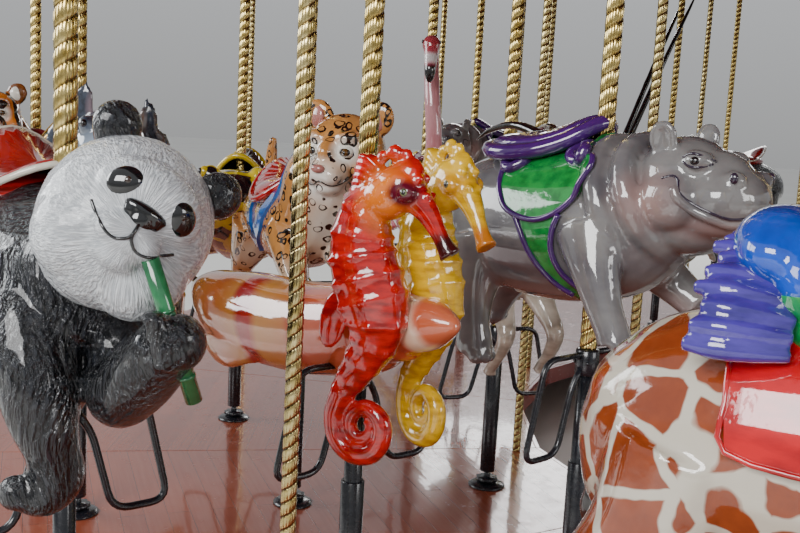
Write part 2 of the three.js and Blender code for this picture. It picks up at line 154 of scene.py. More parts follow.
def studio():
    world = bpy.data.worlds.new("studio")
    world.use_nodes = True
    nodes, links = world.node_tree.nodes, world.node_tree.links
    background = nodes["Background"]
    ramp = nodes.new("ShaderNodeValToRGB")
    ramp.color_ramp.elements[0].position = 0.42
    ramp.color_ramp.elements[0].color = (0.42, 0.42, 0.41, 1)
    ramp.color_ramp.elements[1].position = 0.6
    ramp.color_ramp.elements[1].color = (0.92, 0.94, 0.97, 1)
    split = nodes.new("ShaderNodeSeparateXYZ")
    where = nodes.new("ShaderNodeTexCoord")
    span = nodes.new("ShaderNodeMapRange")
    span.inputs["From Min"].default_value = -1.0
    links.new(where.outputs["Generated"], split.inputs[0])
    links.new(split.outputs["Z"], span.inputs["Value"])
    links.new(span.outputs["Result"], ramp.inputs["Fac"])
    links.new(ramp.outputs["Color"], background.inputs["Color"])
    background.inputs["Strength"].default_value = 0.62
    bpy.context.scene.world = world
    area_light("key", (-7.5, -11.0, 6.5), (-2.5, -1.5, 1.0), (6.0, 4.0), 1150)
    area_light("left_fill", (-12.0, 0.5, 4.5), (-3.0, -1.0, 1.0), (6.0, 4.0), 640, (0.95, 0.98, 1.0))
    area_light("right_fill", (9.0, -9.0, 5.0), (0.0, 0.0, 1.5), (6.0, 4.0), 520)
    area_light("back_fill", (2.0, 13.0, 6.5), (0.0, 2.0, 1.5), (9.0, 4.0), 800)


# Finishes
def add_node(tree, kind, wired=None, **settings):
    node = tree.nodes.new(kind)
    for key, value in settings.items():
        setattr(node, key, value)
    for key, value in (wired or {}).items():
        if isinstance(value, bpy.types.NodeSocket):
            tree.links.new(value, node.inputs[key])
        else:
            node.inputs[key].default_value = value
    return node


def colour(hex_code):
    parts = [int(hex_code[i:i + 2], 16) / 255 for i in (0, 2, 4)]
    return tuple(p / 12.92 if p <= 0.04045 else ((p + 0.055) / 1.055) ** 2.4 for p in parts) + (1.0,)


def new_group(name, wanted, given):
    """A node group, the sockets that it takes and a function that joins what it gives."""
    tree = bpy.data.node_groups.new(name, "ShaderNodeTree")
    for socket, kind, value in wanted:
        made = tree.interface.new_socket(name=socket, in_out="INPUT", socket_type="NodeSocket" + kind)
        if value is not None:
            made.default_value = value
    for socket, kind in given:
        tree.interface.new_socket(name=socket, in_out="OUTPUT", socket_type="NodeSocket" + kind)
    end = tree.nodes.new("NodeGroupOutput")

    def give(**results):
        for socket, value in results.items():
            tree.links.new(value, end.inputs[socket])

    return tree, tree.nodes.new("NodeGroupInput").outputs, give


def calc(tree, operation, *values):
    return add_node(tree, "ShaderNodeMath", dict(enumerate(values)), operation=operation).outputs[0]


def vector_calc(tree, operation, *values):
    return add_node(tree, "ShaderNodeVectorMath", dict(enumerate(values)), operation=operation).outputs[0]


def noise(tree, place, scale, detail, rough=0.5):
    return add_node(tree, "ShaderNodeTexNoise",
                    {"Vector": place, "Scale": scale, "Detail": detail, "Roughness": rough}).outputs[0]


def swayed(tree, place, scale, detail, reach):
    """A place pushed about by noise, and the noise."""
    sway = add_node(tree, "ShaderNodeTexNoise", {"Vector": place, "Scale": scale, "Detail": detail})
    shift = vector_calc(tree, "SUBTRACT", sway.outputs["Color"], (0.5, 0.5, 0.5))
    push = add_node(tree, "ShaderNodeVectorMath", {0: shift, "Scale": reach}, operation="SCALE")
    return vector_calc(tree, "ADD", place, push.outputs[0]), sway.outputs[0]


def spread(tree, value, low, high, first=0.0, last=1.0):
    """A value's range from low to high, taken to the range from first to last."""
    return add_node(tree, "ShaderNodeMapRange", {
        "Value": value, "From Min": low, "From Max": high, "To Min": first, "To Max": last}).outputs[0]


def stretched(tree, place, scale):
    return add_node(tree, "ShaderNodeMapping", {"Vector": place, "Scale": scale}).outputs[0]


def bump(tree, height, strength, distance, normal=None, invert=False):
    wired = {"Strength": strength, "Distance": distance, "Height": height}
    if normal is not None:
        wired["Normal"] = normal
    return add_node(tree, "ShaderNodeBump", wired, invert=invert).outputs[0]


def mixed(tree, mask, below, above):
    return add_node(tree, "ShaderNodeMix", {0: mask, 6: below, 7: above}, data_type="RGBA").outputs[2]


def paint_life_group():
    tree, taken, give = new_group("paint_life", (
        ("Place", "Vector", None), ("Light", "Color", (0.5, 0.5, 0.5, 1)),
        ("Deep", "Color", (0.4, 0.4, 0.4, 1)), ("Scale", "Float", 6.0), ("Gloss", "Float", 0.12),
        ("Dull", "Float", 0.3), ("Ripple", "Float", 0.1)),
                                  (("Color", "Color"), ("Roughness", "Float"), ("Normal", "Vector")))
    place, scale = taken["Place"], taken["Scale"]
    patchy = spread(tree, noise(tree, place, scale, 4.0, 0.6), 0.35, 0.68)
    scuffs = noise(tree, place, calc(tree, "MULTIPLY", scale, 5.0), 5.0, 0.7)
    give(Color=mixed(tree, patchy, taken["Light"], taken["Deep"]),
         Roughness=spread(tree, scuffs, 0.45, 0.75, taken["Gloss"], taken["Dull"]),
         Normal=bump(tree, noise(tree, place, 45.0, 2.0), taken["Ripple"], 0.004))
    return tree


def painted_spot_group():
    tree, taken, give = new_group("painted_spot", (
        ("Place", "Vector", None), ("Centre", "Vector", (0, 0, 0)), ("Size", "Vector", (0.05, 0.05, 0.05)),
        ("Edge", "Float", 0.06)), (("Mask", "Float"),))
    away = vector_calc(tree, "SUBTRACT", taken["Place"], taken["Centre"])
    shape = vector_calc(tree, "DIVIDE", away, taken["Size"])
    reach = add_node(tree, "ShaderNodeVectorMath", {0: shape}, operation="LENGTH").outputs["Value"]
    low, high = (calc(tree, sign, 1.0, taken["Edge"]) for sign in ("SUBTRACT", "ADD"))
    give(Mask=spread(tree, reach, low, high, 1.0, 0.0))
    return tree


def fur_strokes_group():
    tree, taken, give = new_group("fur_strokes", (
        ("Place", "Vector", None), ("Stretch", "Vector", (16.0, 16.0, 5.0)), ("Depth", "Float", 0.3),
        ("Normal", "Vector", None)), (("Stroke", "Float"), ("Normal", "Vector")))
    bent, _ = swayed(tree, taken["Place"], 4.0, 1.0, 0.16)
    drawn = vector_calc(tree, "MULTIPLY", bent, taken["Stretch"])
    crest = spread(tree, noise(tree, drawn, 3.2, 3.0), 0.36, 0.64)
    give(Stroke=crest, Normal=bump(tree, crest, taken["Depth"], 0.012, taken["Normal"]))
    return tree


GROUPS = {"life": paint_life_group(), "spot": painted_spot_group(), "fur": fur_strokes_group()}


def use_group(tree, key, wired):
    return add_node(tree, "ShaderNodeGroup", wired, node_tree=GROUPS[key])


def place_of(tree, figure=False):
    if figure:
        return add_node(tree, "ShaderNodeAttribute", attribute_name="figure_place").outputs["Vector"]
    return add_node(tree, "ShaderNodeTexCoord").outputs["Object"]


def own_place(tree, frame_matrix):
    """The figure's place as seen from a frame of its own, such as a turned head's."""
    spot, turn, _ = frame_matrix.decompose()
    return add_node(tree, "ShaderNodeMapping",
                    {"Vector": place_of(tree, True), "Location": spot, "Rotation": turn.to_euler()},
                    vector_type="TEXTURE").outputs[0]


def uv_place(tree, name):
    return add_node(tree, "ShaderNodeUVMap", uv_map=name).outputs[0]


def split(tree, vector):
    return add_node(tree, "ShaderNodeSeparateXYZ", {0: vector}).outputs


def start_finish(name, metallic=0.0, coat=0.0):
    made = bpy.data.materials.new(name)
    made.use_nodes = True
    shader = made.node_tree.nodes["Principled BSDF"]
    shader.inputs["Metallic"].default_value = metallic
    shader.inputs["Coat Weight"].default_value = coat
    shader.inputs["Coat Roughness"].default_value = 0.04
    return made, made.node_tree


def use_life(tree, place, light, deep, scale, gloss, dull, ripple):
    return use_group(tree, "life", {"Place": place, "Light": light, "Deep": deep, "Scale": scale,
                                    "Gloss": gloss, "Dull": dull, "Ripple": ripple})


def finish_with(made, life, normal=None, shade=None):
    """Joins the paint effect to the shader, with another normal or shade where one is given."""
    tree = made.node_tree
    shader = tree.nodes["Principled BSDF"]
    tree.links.new(shade or life.outputs["Color"], shader.inputs["Base Color"])
    tree.links.new(life.outputs["Roughness"], shader.inputs["Roughness"])
    tree.links.new(normal or life.outputs["Normal"], shader.inputs["Normal"])
    return made


def plain_paint(name, light, deep, scale=7.0, gloss=0.1, dull=0.28, ripple=0.1, metallic=0.0, coat=0.6,
                figure=False):
    made, tree = start_finish(name, metallic, coat)
    place = place_of(tree, figure)
    return finish_with(made, use_life(tree, place, colour(light), colour(deep), scale, gloss, dull, ripple))


def gloss_paint(name, shade, deep=None):
    return plain_paint(name, shade, deep or shade, gloss=0.06, dull=0.18, coat=1.0, figure=True)


def gold_paint(ride):
    return plain_paint(ride + "_gold", "D6A640", "A87620", gloss=0.16, dull=0.3, metallic=0.8, coat=0.4,
                       figure=True)


def spotted(tree, place, base, spots):
    """Soft patches over a base colour, each a centre, a size, an edge and a shade."""
    for centre, size, edge, shade in spots:
        mask = use_group(tree, "spot", {"Place": place, "Centre": centre, "Size": size, "Edge": edge})
        base = mixed(tree, mask.outputs["Mask"], base, colour(shade))
    return base


# Making and placing pieces
def mesh_object(name, bm, material=None, smooth=True):
    mesh = bpy.data.meshes.new(name)
    bm.to_mesh(mesh)
    bm.free()
    piece = bpy.data.objects.new(name, mesh)
    bpy.context.scene.collection.objects.link(piece)
    if smooth:
        mesh.shade_smooth()
    if material:
        mesh.materials.append(material)
    return piece


def applied(piece):
    graph = bpy.context.evaluated_depsgraph_get()
    mesh = bpy.data.meshes.new_from_object(piece.evaluated_get(graph))
    piece.modifiers.clear()
    old = piece.data
    piece.data = mesh
    mesh.name = piece.name
    bpy.data.meshes.remove(old)
    return piece


def closed(bm):
    bmesh.ops.remove_doubles(bm, verts=bm.verts, dist=1e-5)
    bmesh.ops.recalc_face_normals(bm, faces=bm.faces)


def carried_frames(path):
    frames = []
    side = Vector((0, 0, 1)) if abs((path[1][0] - path[0][0]).normalized().z) < 0.9 else Vector((1, 0, 0))
    for index, (spot, radius) in enumerate(path):
        behind, ahead = path[max(index - 1, 0)][0], path[min(index + 1, len(path) - 1)][0]
        along = (ahead - behind).normalized()
        side = (side - along * side.dot(along)).normalized()
        turn = Matrix((side, along.cross(side), along)).transposed().to_4x4()
        frames.append(Matrix.Translation(spot) @ turn @ Matrix.Diagonal((radius, radius, 1, 1)))
    return frames


def eased(places, steps):
    if steps <= 1:
        return [(Vector(p[:3]), p[3]) for p in places]
    path = []
    rows = [Vector(p) for p in places]
    for index in range(len(rows) - 1):
        a, b = rows[max(index - 1, 0)], rows[index]
        c, d = rows[index + 1], rows[min(index + 2, len(rows) - 1)]
        for step in range(steps):
            t = step / steps
            spot = 0.5 * ((2 * b) + (c - a) * t + (2 * a - 5 * b + 4 * c - d) * t * t
                          + (3 * b - a - 3 * c + d) * t ** 3)
            path.append((Vector(spot[:3]), max(spot[3], 0.0005)))
    path.append((Vector(rows[-1][:3]), rows[-1][3]))
    return path


def verts_of(made):
    return [item for item in made if isinstance(item, bmesh.types.BMVert)]


def limb(bm, places, sides=12, steps=4, flat=(1.0, 1.0)):
    """A closed tube through places, each a spot and a radius."""
    frames = carried_frames(eased(places, steps))
    shape = Matrix.Diagonal((flat[0], flat[1], 1, 1))
    ring = bmesh.ops.create_circle(bm, cap_ends=False, segments=sides, radius=1.0)["verts"]
    edges = list({edge for vert in ring for edge in vert.link_edges})
    bmesh.ops.transform(bm, matrix=frames[0] @ shape, verts=ring)
    first = edges
    for before, after in zip(frames, frames[1:]):
        made = bmesh.ops.extrude_edge_only(bm, edges=edges)["geom"]
        ring = verts_of(made)
        edges = [item for item in made if isinstance(item, bmesh.types.BMEdge)
                 and all(v in ring for v in item.verts)]
        bmesh.ops.transform(bm, matrix=after @ before.inverted(), verts=ring)
    bmesh.ops.contextual_create(bm, geom=first)
    bmesh.ops.contextual_create(bm, geom=edges)


def mirrored(bm, *limbs, **options):
    """Limbs given for one side, and made on both."""
    for places in limbs:
        for side in (-1, 1):
            limb(bm, [(x, side * y, z, radius) for x, y, z, radius in places], **options)


def blob(bm, centre, radii, turn=(0, 0, 0), detail=3):
    angles = Euler([math.radians(a) for a in turn]).to_matrix().to_4x4()
    place = Matrix.Translation(centre) @ angles @ Matrix.Diagonal((*radii, 1.0))
    bmesh.ops.create_icosphere(bm, subdivisions=detail, radius=1.0, matrix=place)


def blobs(bm, *shapes):
    for shape in shapes:
        blob(bm, *shape)


def mirrored_blobs(bm, *shapes):
    """Blobs given for one side, and made on both."""
    for side in (-1, 1):
        for (x, y, z), radii, *turn in shapes:
            tilt, lean, swing = turn[0] if turn else (0, 0, 0)
            blob(bm, (x, side * y, z), radii, (side * tilt, lean, side * swing))


def poured(bm, part, place):
    """Moves the faces of a part into another bmesh, each with points of its own."""
    part.transform(place)
    for face in part.faces:
        bm.faces.new([bm.verts.new(vert.co) for vert in face.verts])
    part.free()


def placed(piece, ride, body=None, keep=True):
    if keep:
        spots = piece.data.attributes.new("figure_place", "FLOAT_VECTOR", "POINT")
        flat = [0.0] * (3 * len(piece.data.vertices))
        piece.data.vertices.foreach_get("co", flat)
        spots.data.foreach_set("vector", flat)
    piece.data.transform(ride_place(ride))
    piece.data.update()
    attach(piece, body or ride)
    return piece


def spun(bm, profile, sides=24):
    verts = [bm.verts.new((reach, 0, height)) for reach, height in profile]
    edges = [bm.edges.new(pair) for pair in zip(verts, verts[1:])]
    bmesh.ops.spin(bm, geom=verts + edges, axis=(0, 0, 1), cent=(0, 0, 0), angle=2 * math.pi, steps=sides,
                   use_merge=True)
    closed(bm)


def rounded_path(corners, radius, steps=4, loop=False):
    points = [Vector(c) for c in corners]
    path = []
    for index, corner in enumerate(points):
        if not loop and index in (0, len(points) - 1):
            path.append(corner)
            continue
        before = points[index - 1] - corner
        after = points[(index + 1) % len(points)] - corner
        cut = min(radius, before.length * 0.45, after.length * 0.45)
        start, end = corner + before.normalized() * cut, corner + after.normalized() * cut
        for step in range(steps + 1):
            t = step / steps
            path.append(start * (1 - t) ** 2 + corner * 2 * t * (1 - t) + end * t * t)
    return path


def rod_along(bm, path, radius, sides=10):
    limb(bm, [(*spot, radius) for spot in path], sides=sides, steps=1)


# Brass twist rods
BEAD = ((0.0, 0.895), (0.16, 0.972), (0.5, 1.0), (0.84, 0.972))


def twisted_rod(radius, bottom, top, pitch, starts=2, sides=14):
    bm = bmesh.new()
    foot = bottom - pitch * starts
    verts = []
    for bead in range(int((top - foot) / pitch) + 2):
        for along, swell in BEAD:
            verts.append(bm.verts.new((radius * swell, 0, foot + (bead + along) * pitch)))
    edges = [bm.edges.new(pair) for pair in zip(verts, verts[1:])]
    bmesh.ops.spin(bm, geom=verts + edges, axis=(0, 0, 1), cent=(0, 0, 0),
                   dvec=(0, 0, pitch * starts / sides), angle=2 * math.pi, steps=sides, use_merge=False)
    bmesh.ops.remove_doubles(bm, verts=bm.verts, dist=1e-5)
    for height, facing in ((bottom, -1), (top, 1)):
        everything = bm.verts[:] + bm.edges[:] + bm.faces[:]
        bmesh.ops.bisect_plane(bm, geom=everything, plane_co=(0, 0, height), plane_no=(0, 0, facing),
                               clear_outer=True)
    bmesh.ops.holes_fill(bm, edges=[edge for edge in bm.edges if edge.is_boundary], sides=0)
    bmesh.ops.recalc_face_normals(bm, faces=bm.faces)
    wrap = bm.loops.layers.uv.new("wrap")
    for face in bm.faces:
        middle = face.calc_center_median()
        lean = math.atan2(middle.y, middle.x) / (2 * math.pi)
        for loop in face.loops:
            turn = math.atan2(loop.vert.co.y, loop.vert.co.x) / (2 * math.pi)
            turn += round(lean - turn)
            loop[wrap].uv = (turn, (loop.vert.co.z - foot) / pitch)
    return bm


def brass_twist(name, starts, flutes, light, deep, gloss, dull):
    made, tree = start_finish(name, metallic=1.0)
    around, climb, _ = split(tree, uv_place(tree, "wrap"))
    phase = calc(tree, "SUBTRACT", climb, calc(tree, "MULTIPLY", around, starts))
    groove = spread(tree, calc(tree, "PINGPONG", phase, 0.5), 0.0, 0.13, 1.0, 0.0)
    turn = calc(tree, "MULTIPLY", around, math.pi * flutes)
    flute = calc(tree, "ABSOLUTE", calc(tree, "SINE", turn))
    life = use_life(tree, place_of(tree), colour(light), colour(deep), 30.0, gloss, dull, 0.02)
    tarnish = mixed(tree, groove, life.outputs["Color"], colour("4A3312"))
    return finish_with(made, life, bump(tree, calc(tree, "SUBTRACT", flute, groove), 0.7, 0.0016), tarnish)


POLE_BRASS = brass_twist("pole_brass", 2, 12, "E4CE8A", "AC9048", 0.16, 0.3)
HANGER_BRASS = brass_twist("hanger_brass", 2, 8, "E0CE96", "AC9656", 0.2, 0.34)
BLACK_ENAMEL = plain_paint("black_enamel", "1B1D24", "101116", scale=14.0, gloss=0.2, dull=0.42, coat=0.3)


def guide_rod(radius, bottom, top, pitch, sides, spot, name, material, body):
    bm = twisted_rod(radius, bottom, top, pitch, 2, sides)
    bmesh.ops.translate(bm, verts=bm.verts, vec=spot)
    piece = mesh_object(name, bm, material)
    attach(piece, body)
    return piece


# Poles, collars and footrests
def pole_fittings(ride):
    level = RIDES[ride][2]
    foot = COLLAR_FOOT[level]
    bm = bmesh.new()
    spun(bm, [(0, POLE_END[level]), (POLE_R - 0.002, POLE_END[level]),
              (POLE_R - 0.001, POLE_END[level] + 0.002), (POLE_R - 0.001, foot + 0.02), (0, foot + 0.02)],
         20)
    spun(bm, [(0, foot), (COLLAR_R - 0.003, foot), (COLLAR_R, foot + 0.003),
              (COLLAR_R, foot + COLLAR_HEIGHT - 0.004), (COLLAR_R - 0.004, foot + COLLAR_HEIGHT),
              (POLE_R, foot + COLLAR_HEIGHT), (0, foot + COLLAR_HEIGHT)], 24)
    for side in (-1, 1):
        frame_path = rounded_path([(0, side * out, foot + 0.06 + rise) for out, rise in FOOTREST],
                                  FOOTREST_BEND, 5)
        rod_along(bm, frame_path, FOOTREST_R, 10)
        bmesh.ops.create_uvsphere(bm, u_segments=10, v_segments=6, radius=0.006,
                                  matrix=Matrix.Translation((side * 0.022, -COLLAR_R * 0.78, foot + 0.038)))
    closed(bm)
    return placed(mesh_object(ride + "_fittings", bm, BLACK_ENAMEL), ride, keep=False)


def brass_pole(ride):
    radius, angle, level = RIDES[ride]
    near = ride in NEAR_POLES
    bottom = DECK_TOP + COLLAR_FOOT[level] + COLLAR_HEIGHT
    return guide_rod(POLE_R, bottom, POLE_TOP[level], POLE_PITCH, 14 if near else 10, polar(radius, angle),
                     ride + "_brass", POLE_BRASS, ride)


def floor_tube(ride):
    bm = bmesh.new()
    spun(bm, [(0, 0.0), (FLANGE_R, 0.0), (FLANGE_R, 0.006), (FLANGE_R * 0.86, 0.013),
              (FLANGE_R * 0.45, 0.017), (0, 0.018)], 28)
    bmesh.ops.create_circle(bm, cap_ends=True, segments=32, radius=0.043,
                            matrix=Matrix.Translation((0, 0, 0.022)))
    knob = [face for face in bm.faces if len(face.verts) == 32 and face.calc_center_median().z > 0.02]
    made = bmesh.ops.extrude_face_region(bm, geom=knob)["geom"]
    bmesh.ops.translate(bm, verts=verts_of(made), vec=(0, 0, 0.016))
    for vert in [v for v in bm.verts if v.co.z > 0.0215 and v.co.xy.length > 0.04]:
        lobe = 1 + 0.09 * math.cos(8 * math.atan2(vert.co.y, vert.co.x))
        vert.co.x *= lobe
        vert.co.y *= lobe
    spun(bm, [(0, 0.015), (0.016, 0.015), (0.014, 0.045), (0.013, TUBE_BOTTOM + 0.001),
              (0, TUBE_BOTTOM + 0.001)], 14)
    spun(bm, [(0, TUBE_BOTTOM), (TUBE_R - 0.001, TUBE_BOTTOM), (TUBE_R, TUBE_BOTTOM + 0.002),
              (TUBE_R, TUBE_TOP - 0.002), (TUBE_R - 0.0015, TUBE_TOP), (POLE_R + 0.001, TUBE_TOP),
              (POLE_R + 0.001, TUBE_TOP - 0.06), (0, TUBE_TOP - 0.06)], 28)
    closed(bm)
    return placed(mesh_object(ride + "_floor_tube", bm, BLACK_ENAMEL), ride, body="platform", keep=False)


# Deck
def deck_finish():
    made, tree = start_finish("deck_lacquer", coat=0.55)
    lay = uv_place(tree, "boards")
    boards = add_node(tree, "ShaderNodeTexBrick", {
        "Vector": lay, "Color1": colour("96482E"), "Color2": colour("853C27"), "Mortar": colour("3A1610"),
        "Scale": 1.0, "Mortar Size": 0.0011, "Mortar Smooth": 0.3, "Brick Width": 1.45,
        "Row Height": 0.085})
    grain = noise(tree, stretched(tree, lay, (1.2, 26.0, 1.0)), 2.4, 6.0, 0.65)
    streak = spread(tree, grain, 0.35, 0.7, 0.0, 0.45)
    worn = mixed(tree, streak, boards.outputs["Color"], colour("A0604A"))
    life = use_life(tree, place_of(tree), worn, worn, 2.6, 0.16, 0.34, 0.03)
    swell = noise(tree, stretched(tree, lay, (0.8, 11.8, 1.0)), 1.0, 2.0)
    waves = bump(tree, swell, 0.5, 0.0016, life.outputs["Normal"])
    seams = bump(tree, boards.outputs["Fac"], 0.25, 0.0008, waves, invert=True)
    tree.links.new(waves, tree.nodes["Principled BSDF"].inputs["Coat Normal"])
    return finish_with(made, life, seams)


DECK_LACQUER = deck_finish()
DECK_EDGE = 0.0012


def deck_bank(bank):
    bm = bmesh.new()
    lay = bm.loops.layers.uv.new("boards")
    inner, outer = DECK_INNER_R + BAND_THICK, DECK_OUTER_R - BAND_THICK
    for panel in range(3):
        section = bank * 3 + panel
        middle = corner_angle(section + 0.5)
        ahead, out = polar(1, middle + 90), polar(1, middle)
        corners = []
        for radius, half in ((inner, -10), (outer, -10), (outer, 10), (inner, 10)):
            corners.append(polar(radius, middle + half, DECK_TOP) - ahead * math.copysign(DECK_EDGE, half))
        face = bm.faces.new([bm.verts.new(corner) for corner in corners])
        made = bmesh.ops.extrude_face_region(bm, geom=[face])["geom"]
        lower = verts_of(made)
        bmesh.ops.translate(bm, verts=lower, vec=(0, 0, -0.04))
        island = set(lower) | set(face.verts)
        for side in {f for v in island for f in v.link_faces}:
            for loop in side.loops:
                spot = loop.vert.co
                loop[lay].uv = (spot.dot(ahead) + section * 3.7, spot.dot(out))
    bmesh.ops.recalc_face_normals(bm, faces=bm.faces)
    bmesh.ops.bevel(bm, geom=bm.edges[:], offset=0.0016, affect="EDGES", segments=1, profile=0.5,
                    material=-1)
    piece = mesh_object("deck_boards_%d" % (bank + 1), bm, DECK_LACQUER, smooth=False)
    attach(piece, "platform")
    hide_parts("deck_segment_%d" % (bank + 1))
    return piece


# Sculpting the figures
def sculpted(name, bm, voxel, smooth=6, material=None):
    closed(bm)
    piece = mesh_object(name, bm, material)
    skin = piece.modifiers.new("skin", "REMESH")
    skin.mode = "VOXEL"
    skin.voxel_size = voxel * 1.0
    soften = piece.modifiers.new("soften", "SMOOTH")
    soften.iterations = smooth
    soften.factor = 0.5
    applied(piece)
    piece.data.shade_smooth()
    if material and not piece.data.materials:
        piece.data.materials.append(material)
    return piece


def tree_of(piece):
    return BVHTree.FromPolygons([v.co for v in piece.data.vertices],
                                [tuple(p.vertices) for p in piece.data.polygons])


def joined(name, pieces):
    """One object out of several figure pieces, each keeping its own finish."""
    bm = bmesh.new()
    finishes = []
    for piece in pieces:
        start = len(bm.faces)
        bm.from_mesh(piece.data)
        bm.faces.ensure_lookup_table()
        slots = []
        for finish in piece.data.materials:
            if finish not in finishes:
                finishes.append(finish)
            slots.append(finishes.index(finish))
        for face in bm.faces[start:]:
            face.material_index = slots[face.material_index]
    whole = mesh_object(name, bm, smooth=False)
    for finish in finishes:
        whole.data.materials.append(finish)
    for piece in pieces:
        bpy.data.meshes.remove(piece.data)
    return whole


def small(name, material, build, *args, **options):
    bm = bmesh.new()
    build(bm, *args, **options)
    closed(bm)
    return mesh_object(name, bm, material)


def twins(name, material, centre, radii, middle=0.0):
    """Two like beads, one on each side of a middle, as eyes are."""
    x, y, z = centre
    return [small(name, material, blob, (x, middle + side * y, z), radii) for side in (-1, 1)]


def block(name, voxel, smooth, material, *shapes):
    """A sculpted part made of a few blobs alone."""
    bm = bmesh.new()
    blobs(bm, *shapes)
    return sculpted(name, bm, voxel, smooth, material)


def laid_on(tree, points, towards, lift=0.0):
    """Points dropped onto a sculpted skin along one direction; a miss is left out."""
    path = []
    heading = Vector(towards).normalized()
    for point in points:
        hit, normal, _, _ = tree.ray_cast(Vector(point) - heading * 1.0, heading)
        if hit is not None:
            path.append(hit + normal * lift)
    return path


def painted_line(bm, tree, points, towards, radius):
    path = laid_on(tree, points, towards)
    if len(path) > 2:
        rod_along(bm, path, radius, 8)


def curve_through(points, steps):
    return [spot for spot, _ in eased([(*p, 0.01) for p in points], steps)]


def cover(name, skin, outline, thick, material):
    """A hard saddle cloth: the skin inside a side-view outline, standing proud of it."""
    bm = bmesh.new()
    bm.from_mesh(skin.data)
    bm.normal_update()
    for vert in bm.verts:
        vert.co += vert.normal * thick
    blanket = mesh_object(name, bm)
    cutter = bmesh.new()
    face = cutter.faces.new([cutter.verts.new((x, -1, z)) for x, z in outline])
    made = bmesh.ops.extrude_face_region(cutter, geom=[face])["geom"]
    bmesh.ops.translate(cutter, verts=verts_of(made), vec=(0, 2, 0))
    bmesh.ops.recalc_face_normals(cutter, faces=cutter.faces)
    tool = mesh_object(name + "_outline", cutter)
    trim = blanket.modifiers.new("trim", "BOOLEAN")
    trim.operation = "INTERSECT"
    trim.object = tool
    trim.solver = "MANIFOLD"
    applied(blanket)
    bpy.data.objects.remove(tool)
    blanket.data.materials.clear()
    blanket.data.materials.append(material)
    blanket.data.shade_smooth()
    blanket.data.set_sharp_from_angle(angle=math.radians(50))
    return blanket


def seat(name, centre, size, rise, drop, material, rim, rim_material, lean=0.0, thick=0.02, taper=0.0):
    """A saddle: an oval dish with its front and back turned up and a rolled rim."""
    bm = bmesh.new()
    half, wide = size
    bmesh.ops.create_circle(bm, cap_ends=True, segments=36, radius=1.0)
    for _ in range(5):
        centre_face = max(bm.faces, key=lambda f: len(f.verts))
        bmesh.ops.inset_region(bm, faces=[centre_face], thickness=0.17)
    def dished(spot):
        x, y = spot.x * half, spot.y * wide * (1 - taper * spot.x)
        along, across = spot.x, spot.y
        z = rise[1 if along > 0 else 0] * abs(along) ** 2.6 - drop * across ** 2
        return Vector((centre[0] + x, centre[1] + y, centre[2] + z + lean * x))
    border = sorted((v for v in bm.verts if v.co.length > 0.995), key=lambda v: math.atan2(v.co.y, v.co.x))
    edge_path = [dished(v.co) for v in border]
    for vert in bm.verts:
        vert.co = dished(vert.co)
    bmesh.ops.recalc_face_normals(bm, faces=bm.faces)
    bmesh.ops.solidify(bm, geom=bm.faces[:], thickness=thick)
    bmesh.ops.recalc_face_normals(bm, faces=bm.faces)
    dish = mesh_object(name, bm, material)
    pad = dish.modifiers.new("pad", "SUBSURF")
    pad.levels = pad.render_levels = 1
    applied(dish)
    dish.data.shade_smooth()
    roll = small(name + "_rim", rim_material, lambda b: ringed(b, edge_path, rim))
    return [dish, roll]


def ringed(bm, loop, radius, sides=8):
    """A closed tube round a loop of points."""
    path = [Vector(p) for p in loop]
    path += path[:2]
    rod_along(bm, path, radius, sides)


def hoop(frame_matrix, wide, high):
    """Points of an upright ring across a figure, in the given frame."""
    turns = [math.radians(15 * step) for step in range(24)]
    return [frame_matrix @ Vector((0, math.cos(turn) * wide, math.sin(turn) * high)) for turn in turns]


def face_frame(centre, yaw, pitch, roll):
    turn = Matrix.Rotation(math.radians(yaw), 4, "Z") @ Matrix.Rotation(math.radians(-pitch), 4, "Y")
    return Matrix.Translation(centre) @ turn @ Matrix.Rotation(math.radians(roll), 4, "X")


# Panda
def panda_fur(name, light, deep, frame_matrix=None, depth=0.8, gloss=0.14, dull=0.34):
    made, tree = start_finish(name, coat=0.5)
    place = place_of(tree, True)
    drawn = place
    if frame_matrix is not None:
        ahead, across, up = split(tree, own_place(tree, frame_matrix))
        sweep = calc(tree, "MULTIPLY", calc(tree, "ARCTAN2", up, across), 0.3)
        squares = (calc(tree, "MULTIPLY", axis, axis) for axis in (across, up))
        reach = calc(tree, "POWER", calc(tree, "ADD", *squares), 0.5)
        drawn = add_node(tree, "ShaderNodeCombineXYZ", {0: sweep, 1: ahead, 2: reach}).outputs[0]
    fur = use_group(tree, "fur", {"Place": drawn, "Depth": depth, "Stretch": (30.0, 30.0, 6.0)})
    # The crests of the carved strokes take the light shade and their grooves the deep one: painted
    # highlight on the crests and painted shade in the grooves.
    tone = mixed(tree, fur.outputs["Stroke"], colour(deep), colour(light))
    life = use_life(tree, place, tone, tone, 6.0, gloss, dull, 0.05)
    return finish_with(made, life, fur.outputs["Normal"])


